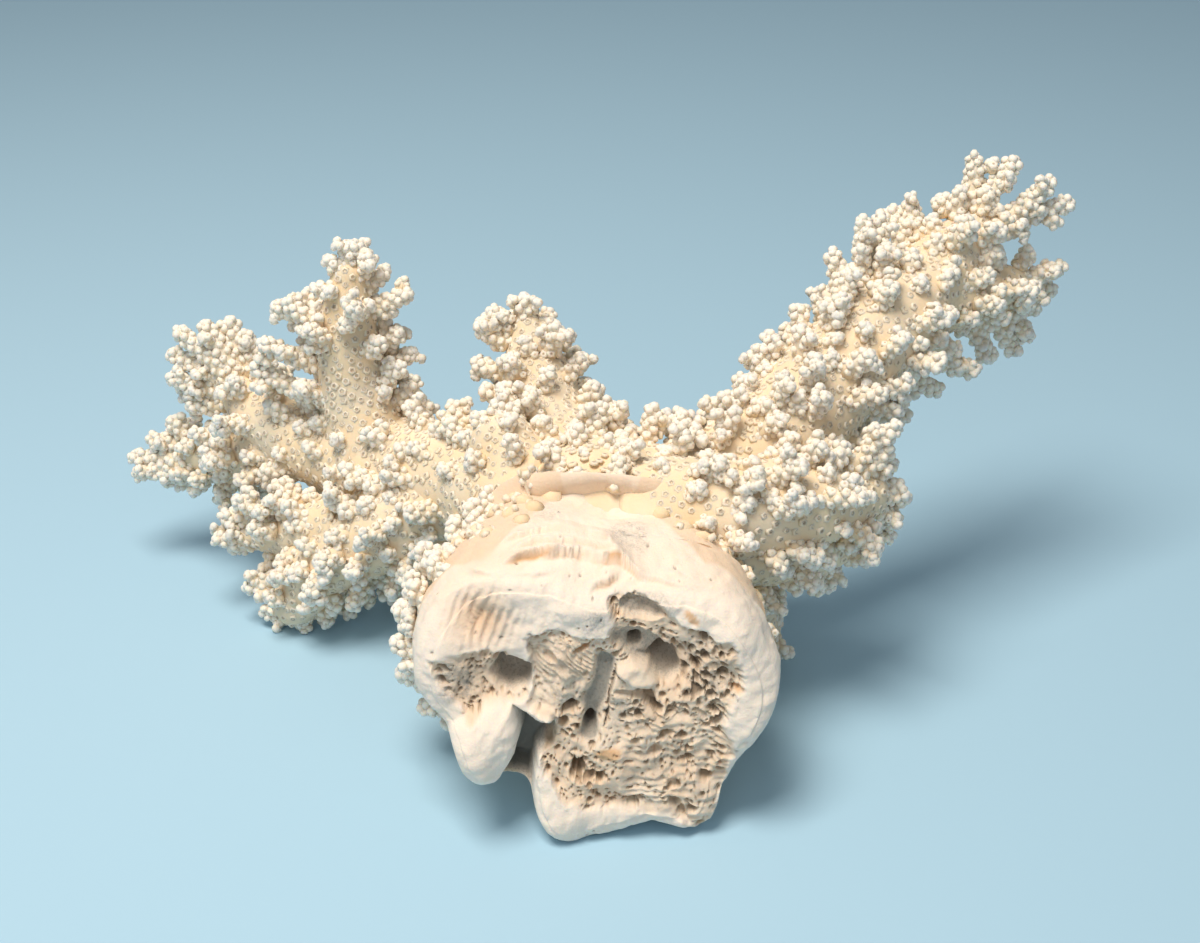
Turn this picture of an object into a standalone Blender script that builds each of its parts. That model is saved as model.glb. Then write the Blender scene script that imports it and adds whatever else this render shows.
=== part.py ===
# A bleached branching coral, lying on its side with its broken foot towards the front (-Y).
# Built in millimetres, then scaled to metres; +Z is up and the surface it lies on is z = 0.

import math

import bmesh
import bpy
import numpy as np
from mathutils import Matrix, Vector

# Driving dimensions, in millimetres
spread = 280.0          # left tips to right tips
drawn_spread = 280.0    # the spread that the places below are drawn at
skin_voxel = 1.25       # size of the cells that fuse branchlets to their limb
gap = 0.30              # gap left between two pieces at a fork
rough_margin = 2.5      # how far past its forks a piece is first cut
finger_root = 4.6       # radius of a branchlet where it leaves its limb
finger_tip = 3.1        # radius of a branchlet at its tip
finger_spacing = 11.0   # distance between branchlets on a limb
fill_end = 0.85         # share of a limb's length where its evenly spread branchlets stop
finger_lean = 52.0      # degrees between a branchlet and its limb's direction
golden_turn = math.radians(137.5)
seed = 7

origin_spot = (-4.0, 75.0, 0.0)     # the place of the drawing under the middle of the coral

to_metres = 0.001 * spread / drawn_spread

# Each limb: its axis as (x, y, z, radius), how far its branchlets reach,
# and the branchlet tips that show on its outline.
limbs = {
    "stem": {
        "path": [(-2, 44, 40, 25), (-2, 58, 43, 25), (0, 76, 46, 23), (0, 96, 48, 17)],
        "reach": 8,
        "start": 0.2,
        "tips": [],
    },
    "foot_nubs": {
        "path": [(-27, 30, 20, 9), (-30, 32, 36, 11), (-26, 36, 52, 9)],
        "reach": 0,
        "start": 2,
        "tips": [
            (-41, 35, 58), (-46, 33, 53), (-50, 36, 45), (-51, 33, 37), (-50, 35, 27), (-45, 34, 16),
            (-39, 36, 9), (-47, 42, 50), (-48, 44, 38), (-46, 45, 26), (-42, 46, 16), (-44, 46, 56),
            (-37, 57, 57), (-32, 58, 62), (-28, 66, 61), (-20, 68, 63), (-41, 54, 50),
        ],
    },
    "left_limb": {
        "path": [(-12, 80, 48, 18), (-34, 95, 46, 15), (-52, 108, 44, 14), (-66, 115, 44, 13)],
        "reach": 8,
        "start": 0.3,
        "tips": [(-50, 118, 58), (-45, 100, 62)],
    },
    "left_tower": {
        "path": [(-65, 114, 44, 13), (-68, 118, 62, 10), (-70, 120, 80, 8.5), (-69, 121, 97, 5)],
        "reach": 8,
        "start": 0.2,
        "tips": [
            (-67, 121, 107), (-74, 120, 103), (-62, 119, 104), (-52, 119, 93), (-58, 124, 98),
            (-55, 119, 82), (-52, 121, 75), (-51, 118, 68), (-50, 120, 61), (-90, 121, 89),
            (-86, 118, 91), (-94, 118, 79), (-97, 120, 71), (-78, 118, 95), (-79, 122, 88),
        ],
    },
    "left_fan": {
        "path": [(-64, 112, 44, 13), (-81, 122, 44, 11), (-98, 131, 51, 8.5), (-109, 137, 60, 4.5)],
        "reach": 8,
        "start": 0.3,
        "tips": [
            (-114, 139, 76), (-122, 139, 74), (-107, 141, 76), (-102, 139, 73), (-97, 138, 69),
            (-125, 140, 66), (-125, 136, 60), (-124, 141, 55), (-120, 136, 51),
        ],
    },
    "left_fan_lower": {
        "path": [(-84, 124, 42, 9.5), (-104, 132, 38, 8), (-124, 138, 33, 4)],
        "reach": 7.5,
        "start": 0.2,
        "tips": [
            (-127, 138, 45), (-134, 138, 39), (-140, 138, 33), (-139, 136, 28), (-131, 138, 24),
            (-127, 141, 21), (-121, 137, 22), (-114, 139, 20), (-106, 136, 21), (-100, 137, 21),
            (-117, 131, 35), (-120, 130, 28),
        ],
    },
    "left_foot": {
        "path": [(-44, 98, 40, 13), (-60, 97, 32, 12), (-75, 96, 22, 10), (-86, 95, 9, 7)],
        "reach": 7.5,
        "start": 0.15,
        "tips": [
            (-90, 98, 0), (-84, 94, -1), (-78, 98, 0), (-72, 99, 3), (-66, 100, 5), (-61, 100, 9),
            (-96, 97, 4), (-101, 99, 11), (-71, 91, 41), (-65, 90, 43), (-58, 91, 45),
        ],
    },
    "left_foot_side": {
        "path": [(-70, 99, 30, 10), (-86, 106, 26, 8), (-99, 111, 22, 4.5)],
        "reach": 7.5,
        "start": 0.2,
        "tips": [
            (-103, 106, 36), (-94, 103, 37), (-108, 109, 29), (-110, 106, 23), (-107, 111, 17),
            (-100, 118, 16), (-104, 117, 30),
        ],
    },
    "left_prop": {
        "path": [(-42, 97, 37, 12), (-49, 106, 18, 9), (-54, 112, 3, 6)],
        "reach": 6.5,
        "start": 0.3,
        "tips": [(-54, 114, -2), (-60, 113, 0), (-50, 107, 0)],
    },
    "middle_branch": {
        "path": [(-9, 88, 47, 17), (-15, 108, 59, 12), (-18, 118, 72, 9), (-20, 122, 82, 4.5)],
        "reach": 8,
        "start": 0.25,
        "tips": [
            (-21, 122, 91), (-34, 121, 83), (-30, 122, 87), (-35, 119, 73), (-13, 121, 84),
            (-8, 122, 80), (-4, 120, 74), (-3, 118, 67), (1, 116, 61), (-14, 128, 84),
            (-26, 130, 82),
        ],
    },
    "middle_tuft": {
        "path": [(-20, 84, 52, 14), (-26, 90, 62, 9)],
        "reach": 7,
        "start": 0.2,
        "tips": [(-33, 91, 70), (-28, 92, 73), (-24, 92, 72), (-37, 90, 64)],
    },
    "right_arm": {
        "path": [(2, 78, 46, 20), (24, 81, 52, 15), (45, 88, 62, 15), (62, 100, 77, 14),
                 (78, 111, 89, 13), (92, 122, 96, 10)],
        "reach": 9,
        "start": 0.12,
        "tips": [
            (14, 90, 73), (22, 88, 72), (31, 90, 75), (38, 93, 80), (44, 96, 82), (51, 106, 82),
            (53, 110, 93),
            (62, 113, 108), (70, 116, 116), (75, 119, 116), (104, 114, 72), (94, 114, 66),
            (85, 110, 60), (70, 96, 55),
        ],
    },
    "right_crown": {
        "path": [(86, 118, 93, 11), (97, 128, 101, 9), (106, 136, 109, 5)],
        "reach": 7.5,
        "start": 0.2,
        "tips": [
            (80, 134, 112), (84, 135, 114), (92, 137, 115), (98, 134, 113), (100, 138, 125),
            (104, 140, 126), (107, 137, 124), (112, 139, 123), (115, 136, 125), (123, 138, 119),
            (127, 137, 117), (131, 139, 112), (118, 136, 109),
        ],
    },
    "right_side_branch": {
        "path": [(88, 119, 91, 11), (104, 127, 91, 8), (118, 134, 90, 4.5)],
        "reach": 7.5,
        "start": 0.25,
        "tips": [
            (120, 135, 100), (131, 137, 94), (129, 138, 86), (124, 136, 81), (121, 134, 76),
            (123, 136, 72), (119, 133, 69), (111, 127, 70),
        ],
    },
    "right_lobe": {
        "path": [(12, 68, 50, 17), (34, 61, 57, 13), (54, 64, 58, 11.5), (68, 71, 57, 7)],
        "reach": 8,
        "start": 0.3,
        "tips": [
            (76, 71, 77), (74, 70, 71), (76, 73, 65), (78, 72, 59), (80, 72, 55), (78, 71, 49),
            (50, 53, 75), (39, 51, 74), (37, 49, 67), (53, 51, 66), (25, 53, 69), (33, 50, 60),
        ],
    },
    "right_lobe_lower": {
        "path": [(26, 64, 47, 13), (46, 63, 46, 10), (60, 68, 43, 6)],
        "reach": 7.5,
        "start": 0.3,
        "tips": [(77, 72, 44), (70, 71, 39), (63, 71, 32), (41, 51, 50), (48, 52, 45), (56, 54, 52)],
    },
    "right_prop": {
        "path": [(27, 68, 38, 15), (37, 73, 21, 10), (44, 79, 4, 6.5)],
        "reach": 5.5,
        "start": 0.3,
        "tips": [(48, 79, -2), (41, 83, -2), (49, 75, 16), (49, 73, 25), (44, 73, 2)],
    },
    "rear_prop": {
        "path": [(4, 88, 38, 15), (10, 106, 22, 11), (15, 120, 4, 6.5)],
        "reach": 7,
        "start": 0.35,
        "tips": [(16, 123, -2), (22, 121, 0), (9, 120, 0), (14, 130, 12)],
    },
}

# The broken foot. Its face leans back, and its edge is given as (degrees, radius) seen from the
# front, round a centre above the contact with the ground.
face_centre = (0.0, 36.0)       # x and z
face_lean = 0.30                # how far the face goes back for each step up
face_edge = [
    (0, 42), (14, 40), (30, 37), (45, 31), (60, 25), (78, 22), (100, 23), (120, 29), (135, 36),
    (150, 41), (165, 44), (180, 43), (193, 37), (210, 36), (222, 31), (233, 28), (245, 34),
    (256, 37), (270, 35), (291, 34), (306, 41), (314, 40), (322, 37), (334, 37), (347, 40),
]
# Rings behind the face: share of the stem's outline, swelling, and how far back.
foot_rings = [(0.0, 1.2, 2.5), (0.05, 2.4, 7), (0.2, 3.2, 14), (0.45, 3.2, 24), (0.75, 2.0, 36),
              (1.0, 0.0, 50)]
stem_section = (-1.0, 43.0, 28.0, 25.0)     # x, z, half-width, half-height
stem_join_y = 62.0
# Hollows (negative) and swellings in the face: x, z, half-width, half-height, depth.
face_forms = [
    (16, 42, 6, 6, -9), (8, 46, 3, 3, -6), (8, 54, 7, 4, -4), (-21, 40, 7, 4.5, -8),
    (-16, 23, 6, 11, -15), (-1, 31, 4, 8, -5), (-5, 18, 3, 4, -6), (-29, 25, 8, 9, 6),
    (-11, 6, 7, 6, 3), (37, 30, 6, 9, 2), (24, 20, 10, 8, -2), (-36, 45, 7, 8, 2),
]

# Where the coral is parted at its forks: a point on each plane and its direction.
forks = {
    "foot": ((0, 55, 40), (0.25, 1.0, 0.0)),
    "left": ((-38, 97, 47), (-0.85, 0.35, -0.3)),
    "right": ((18, 76, 54), (1.0, 0.0, 0.1)),
    "right_low": ((45, 74, 62), (0.35, -0.6, -0.72)),
    "right_prop": ((38, 68, 36), (-0.5, 0.0, -0.87)),
    "crown": ((84, 116, 92), (0.68, 0.5, 0.4)),
    "crown_low": ((100, 128, 97), (0.35, 0.0, -0.94)),
    "left_up": ((-75, 118, 54), (0.5, -0.4, 0.77)),
    "left_tower": ((-60, 112, 56), (-0.55, 0.25, 0.8)),
    "left_low": ((-62, 108, 38), (0.0, -0.75, -0.66)),
    "left_foot": ((-57, 104, 12), (-0.8, -0.6, 0.0)),
    "left_fan_low": ((-88, 126, 40), (-0.3, 0.0, -0.95)),
    "middle": ((-13, 96, 56), (-0.1, 0.5, 0.86)),
    "rear": ((8, 104, 28), (0.1, 0.75, -0.65)),
}

# The forks tell the pieces apart: each row splits what is left of the coral in two, on the far
# (+) side and the near (-) side of a fork, down to single pieces with their triangles.
parting = ("foot", (
    "left", (
        "left_up",
        ("left_tower", ("left_tower", 600), ("left_limb", 300)),
        ("left_low",
         ("left_foot", ("left_foot", 600), ("left_prop", 260)),
         ("left_fan_low", ("left_fan_lower", 500), ("left_fan", 600)))),
    (
        "right", (
            "right_low",
            ("right_prop", ("right_prop", 320), ("right_lobe", 700)),
            ("crown",
             ("crown_low", ("right_side_branch", 400), ("right_crown", 540)),
             ("right_arm", 880))),
        (
            "middle", ("middle_branch", 680),
            ("rear", ("rear_prop", 300), ("stem", 380))))),
    ("holdfast", 1400))


def list_pieces(tree, sides):
    """Each piece as (name, triangles, the sides of the forks that it lies on)."""
    if len(tree) == 2:
        return [(tree[0], tree[1], sides)]
    fork, far, near = tree
    return list_pieces(far, {**sides, fork: 1}) + list_pieces(near, {**sides, fork: -1})


def clear_scene():
    for old in list(bpy.data.objects):
        bpy.data.objects.remove(old, do_unlink=True)


def smooth_path(points, steps):
    """Points and radii along a curve through the given ones."""
    pts = np.array(points, float)
    ends = np.vstack([2 * pts[0] - pts[1], pts, 2 * pts[-1] - pts[-2]])
    out = []
    for i in range(len(pts) - 1):
        a, b, c, d = ends[i:i + 4]
        for t in np.arange(steps) / steps:
            out.append(0.5 * (2 * b + (c - a) * t + (2 * a - 5 * b + 4 * c - d) * t ** 2
                              + (3 * b - a - 3 * c + d) * t ** 3))
    out.append(pts[-1])
    return np.array(out)


def unit(v):
    return v / max(np.linalg.norm(v), 1e-9)


def side_axes(direction):
    """Two directions at right angles to the given one."""
    helper = np.array([0.0, 0.0, 1.0]) if abs(direction[2]) < 0.9 else np.array([1.0, 0.0, 0.0])
    first = unit(np.cross(helper, direction))
    return first, np.cross(direction, first)


def add_tube(bm, points, radii, sides, dome):
    """A closed tube along points, with a rounded end of the given length."""
    points = [np.array(p, float) for p in points]
    radii = list(radii)
    last = unit(points[-1] - points[-2])
    points.append(points[-1] + last * dome * 0.7)
    radii.append(radii[-1] * 0.7)
    rings = []
    for i, (point, radius) in enumerate(zip(points, radii)):
        ahead = points[min(i + 1, len(points) - 1)] - points[max(i - 1, 0)]
        first, second = side_axes(unit(ahead))
        ring = []
        for k in range(sides):
            angle = 2 * math.pi * k / sides
            place = point + radius * (math.cos(angle) * first + math.sin(angle) * second)
            ring.append(bm.verts.new(place))
        rings.append(ring)
    for low, high in zip(rings, rings[1:]):
        for k in range(sides):
            n = (k + 1) % sides
            bm.faces.new((low[k], low[n], high[n], high[k]))
    bm.faces.new(list(reversed(rings[0])))
    top = bm.verts.new(points[-1] + last * dome * 0.3)
    for k in range(sides):
        bm.faces.new((rings[-1][k], rings[-1][(k + 1) % sides], top))


def nearest_on(path, point):
    """The axis point that a branchlet to this tip grows from, a little behind the nearest one."""
    away = np.linalg.norm(path[:, :3] - point, axis=1)
    i = int(np.argmin(away))
    back = 0.55 * away[i]
    while i > 0 and back > 0:
        back -= np.linalg.norm(path[i, :3] - path[i - 1, :3])
        i -= 1
    return path[i, :3]


def inside_limb(point, own_name, curves):
    """True where a point lies in the body of another limb."""
    for name, path in curves.items():
        if name != own_name:
            away = np.linalg.norm(path[:, :3] - point, axis=1) - path[:, 3]
            if away.min() < 1.0:
                return True
    return False


def fill_branchlets(name, path, limb, curves, rng):
    """Branchlets all round a limb in a spiral, leaning towards its end."""
    length = np.concatenate([[0], np.cumsum(np.linalg.norm(np.diff(path[:, :3], axis=0), axis=1))])
    area = np.concatenate([[0], np.cumsum(np.diff(length) * math.pi * (path[1:, 3] + path[:-1, 3]))])
    count = int(area[-1] / finger_spacing ** 2)
    shown = np.array(limb["tips"], float).reshape(-1, 3)
    lean = math.radians(finger_lean)
    out = []
    for i in range(count):
        where = np.interp((i + 0.5) / count * area[-1], area, length)
        turn = i * golden_turn + rng.uniform(-0.3, 0.3)
        reach = limb["reach"] * rng.uniform(0.8, 1.2)
        if not limb["start"] < where / length[-1] < fill_end:
            continue
        centre = np.array([np.interp(where, length, path[:, k]) for k in range(4)])
        ahead = np.array([np.interp(where + 2, length, path[:, k]) for k in range(3)])
        behind = np.array([np.interp(where - 2, length, path[:, k]) for k in range(3)])
        along = unit(ahead - behind)
        first, second = side_axes(along)
        out_way = math.cos(turn) * first + math.sin(turn) * second
        root = centre[:3] + out_way * centre[3] * 0.6
        way = math.sin(lean) * out_way + math.cos(lean) * along
        tip = root + way * (centre[3] * 0.4 + reach)
        crowded = len(shown) and np.linalg.norm(shown - tip, axis=1).min() < 6.0
        if not crowded and not inside_limb(tip, name, curves):
            out.append((root, tip))
    return out


def edge_radius(angle):
    """Radius of the broken face's edge at an angle, by a smooth curve through its points."""
    degrees = math.degrees(angle) % 360
    count = len(face_edge)
    known = [p[0] for p in face_edge] + [360]
    i = max(k for k in range(count) if known[k] <= degrees)
    t = (degrees - known[i]) / (known[i + 1] - known[i])
    a, b, c, d = (face_edge[(i + k) % count][1] for k in (-1, 0, 1, 2))
    return 0.5 * (2 * b + (c - a) * t + (2 * a - 5 * b + 4 * c - d) * t * t
                  + (3 * b - a - 3 * c + d) * t ** 3)


def face_depth(x, z):
    """How far the face is pushed back (+) or forward at a place."""
    depth = 0.0
    for cx, cz, across, up, height in face_forms:
        far = ((x - cx) / across) ** 2 + ((z - cz) / up) ** 2
        depth -= height * math.exp(-far)
    return depth


def add_foot_body(bm):
    """The broken foot: its hollowed face, rounded edge and body back to the stem."""
    sides = 72
    shares = [0.12, 0.28, 0.42, 0.55, 0.67, 0.78, 0.88, 0.96]
    cx, cz = face_centre
    rings = []
    for share in shares:
        ring = []
        for k in range(sides):
            angle = 2 * math.pi * k / sides
            radius = share * edge_radius(angle)
            x = cx + radius * math.cos(angle)
            z = cz + radius * math.sin(angle)
            rounding = 3.0 * max(0.0, share - 0.8) / 0.2
            ring.append(bm.verts.new((x, face_lean * z + face_depth(x, z) + rounding, z)))
        rings.append(ring)
    sx, sz, half_wide, half_high = stem_section
    for blend, swell, back in foot_rings:
        ring = []
        for k in range(sides):
            angle = 2 * math.pi * k / sides
            radius = edge_radius(angle) + swell
            x = cx + radius * math.cos(angle)
            z = cz + radius * math.sin(angle)
            y = face_lean * z + back
            x += blend * (sx + half_wide * math.cos(angle) - x)
            z += blend * (sz + half_high * math.sin(angle) - z)
            y += blend * (stem_join_y - y)
            ring.append(bm.verts.new((x, y, z)))
        rings.append(ring)
    for low, high in zip(rings, rings[1:]):
        for k in range(sides):
            n = (k + 1) % sides
            bm.faces.new((low[k], low[n], high[n], high[k]))
    middle = bm.verts.new((cx, face_lean * cz + face_depth(cx, cz), cz))
    for k in range(sides):
        bm.faces.new((rings[0][(k + 1) % sides], rings[0][k], middle))
    bm.faces.new(rings[-1])


def whole_coral():
    """All limbs, branchlets and the foot as one rough mesh of overlapping closed shapes."""
    rng = np.random.default_rng(seed)
    curves = {name: smooth_path(limb["path"], 8) for name, limb in limbs.items()}
    bm = bmesh.new()
    add_foot_body(bm)
    total = 0
    for name, limb in limbs.items():
        path = curves[name]
        add_tube(bm, path[:, :3], path[:, 3], 14, path[-1, 3])
        shown = [(nearest_on(path, np.array(t, float)), np.array(t, float)) for t in limb["tips"]]
        for root, tip in shown + fill_branchlets(name, path, limb, curves, rng):
            end = tip - unit(tip - root) * 0.6 * finger_tip
            add_tube(bm, [root, end], [finger_root, finger_tip], 8, finger_tip)
            total += 1
    bmesh.ops.recalc_face_normals(bm, faces=bm.faces[:])
    print("branchlets", total)
    mesh = bpy.data.meshes.new("coral_rough")
    bm.to_mesh(mesh)
    bm.free()
    return mesh


def evaluated(obj):
    graph = bpy.context.evaluated_depsgraph_get()
    graph.update()
    return bpy.data.meshes.new_from_object(obj.evaluated_get(graph))


def as_object(name, mesh):
    obj = bpy.data.objects.new(name, mesh)
    bpy.context.scene.collection.objects.link(obj)
    return obj


def cell_mesh(name, sides, grow):
    """The convex region that a piece fills, as the room left by its planes and the ground."""
    bm = bmesh.new()
    bmesh.ops.create_cube(bm, size=600.0)
    bmesh.ops.translate(bm, verts=bm.verts, vec=(0, 80, 300 - grow))
    for fork, side in sides.items():
        point, direction = forks[fork]
        way = Vector(direction).normalized() * side
        place = Vector(point) + way * (gap / 2 - grow)
        everything = bm.verts[:] + bm.edges[:] + bm.faces[:]
        cut = bmesh.ops.bisect_plane(bm, geom=everything, plane_co=place, plane_no=way,
                                     clear_inner=True)
        edges = [e for e in cut["geom_cut"] if isinstance(e, bmesh.types.BMEdge)]
        bmesh.ops.contextual_create(bm, geom=edges)
    bmesh.ops.triangulate(bm, faces=bm.faces[:])
    bmesh.ops.recalc_face_normals(bm, faces=bm.faces[:])
    mesh = bpy.data.meshes.new(name)
    bm.to_mesh(mesh)
    bm.free()
    return mesh


def largest_part(mesh):
    """Keep the biggest connected part of a mesh."""
    bm = bmesh.new()
    bm.from_mesh(mesh)
    left = set(bm.faces)
    best = []
    while left:
        seed_face = left.pop()
        group = [seed_face]
        waiting = [seed_face]
        while waiting:
            face = waiting.pop()
            for edge in face.edges:
                for other in edge.link_faces:
                    if other in left:
                        left.remove(other)
                        group.append(other)
                        waiting.append(other)
        if len(group) > len(best):
            best = group
    keep = set(best)
    bmesh.ops.delete(bm, geom=[f for f in bm.faces if f not in keep], context="FACES")
    bmesh.ops.triangulate(bm, faces=bm.faces[:])
    bm.to_mesh(mesh)
    bm.free()


def coral_material():
    material = bpy.data.materials.new("bleached_coral")
    material.use_nodes = True
    shader = material.node_tree.nodes["Principled BSDF"]
    shader.inputs["Base Color"].default_value = (0.87, 0.78, 0.66, 1.0)
    shader.inputs["Roughness"].default_value = 0.85
    shader.inputs["Metallic"].default_value = 0.0
    return material


def fused_skin():
    """The rough mesh fused into one closed skin of small cells."""
    rough = as_object("coral_rough", whole_coral())
    remesh = rough.modifiers.new("fuse", "REMESH")
    remesh.mode = "VOXEL"
    remesh.voxel_size = skin_voxel
    skin = evaluated(rough)
    bpy.data.objects.remove(rough, do_unlink=True)
    return skin


def inside_region(obj, sides, grow):
    """The object's mesh inside its region, keeping the biggest part."""
    cell = as_object(obj.name + "_region", cell_mesh(obj.name + "_region", sides, grow))
    cut = obj.modifiers.new("region", "BOOLEAN")
    cut.operation = "INTERSECT"
    cut.solver = "EXACT"
    cut.object = cell
    piece = evaluated(obj)
    obj.modifiers.clear()
    bpy.data.objects.remove(cell, do_unlink=True)
    largest_part(piece)
    return piece


def cut_piece(name, skin, sides, triangles, material):
    """One piece: the skin near its region, thinned to its triangles, then cut clean."""
    obj = as_object(name, skin.copy())
    obj.data = inside_region(obj, sides, rough_margin)
    thin = obj.modifiers.new("thin", "DECIMATE")
    thin.ratio = min(1.0, triangles / len(obj.data.polygons))
    obj.data = evaluated(obj)
    obj.modifiers.clear()
    piece = inside_region(obj, sides, 0.0)
    obj.data = piece
    piece.transform(Matrix.Scale(to_metres, 4) @ Matrix.Translation(-Vector(origin_spot)))
    piece.materials.clear()
    piece.materials.append(material)
    print(name, "triangles", len(piece.polygons))


def main():
    clear_scene()
    material = coral_material()
    skin = fused_skin()
    print("skin faces", len(skin.polygons))
    for name, triangles, sides in list_pieces(parting, {}):
        cut_piece(name, skin, sides, triangles, material)


main()
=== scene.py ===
# Dresses the bleached branching coral: its knobbly branches and its broken, spongy foot.
# Places are millimetres of the drawing; toFrame turns them into metres of the frame.

import math

import bpy
import numpy as np
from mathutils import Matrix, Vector


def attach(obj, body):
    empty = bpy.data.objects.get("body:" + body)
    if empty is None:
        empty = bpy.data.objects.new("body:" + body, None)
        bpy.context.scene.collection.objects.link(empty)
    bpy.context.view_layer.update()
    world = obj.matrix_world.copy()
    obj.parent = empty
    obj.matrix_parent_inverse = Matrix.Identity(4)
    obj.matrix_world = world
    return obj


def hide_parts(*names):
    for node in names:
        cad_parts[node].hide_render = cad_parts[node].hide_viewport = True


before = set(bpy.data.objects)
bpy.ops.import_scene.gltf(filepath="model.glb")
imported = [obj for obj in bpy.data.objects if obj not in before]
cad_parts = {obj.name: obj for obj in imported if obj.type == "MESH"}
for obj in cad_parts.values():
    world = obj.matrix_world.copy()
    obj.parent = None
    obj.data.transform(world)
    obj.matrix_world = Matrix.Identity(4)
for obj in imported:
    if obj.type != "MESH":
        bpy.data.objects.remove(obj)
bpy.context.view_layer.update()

drawing = {
    "spread": 280.0,                # left tips to right tips, mm
    "drawnSpread": 280.0,           # the spread that the places are drawn at
    "origin": (-4.0, 75.0, 0.0),    # the place of the drawing under the middle of the coral
    "seed": 7,
    "ground": 0.05,                 # lowest height of any surface
}
goldenTurn = math.radians(137.5)

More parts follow.
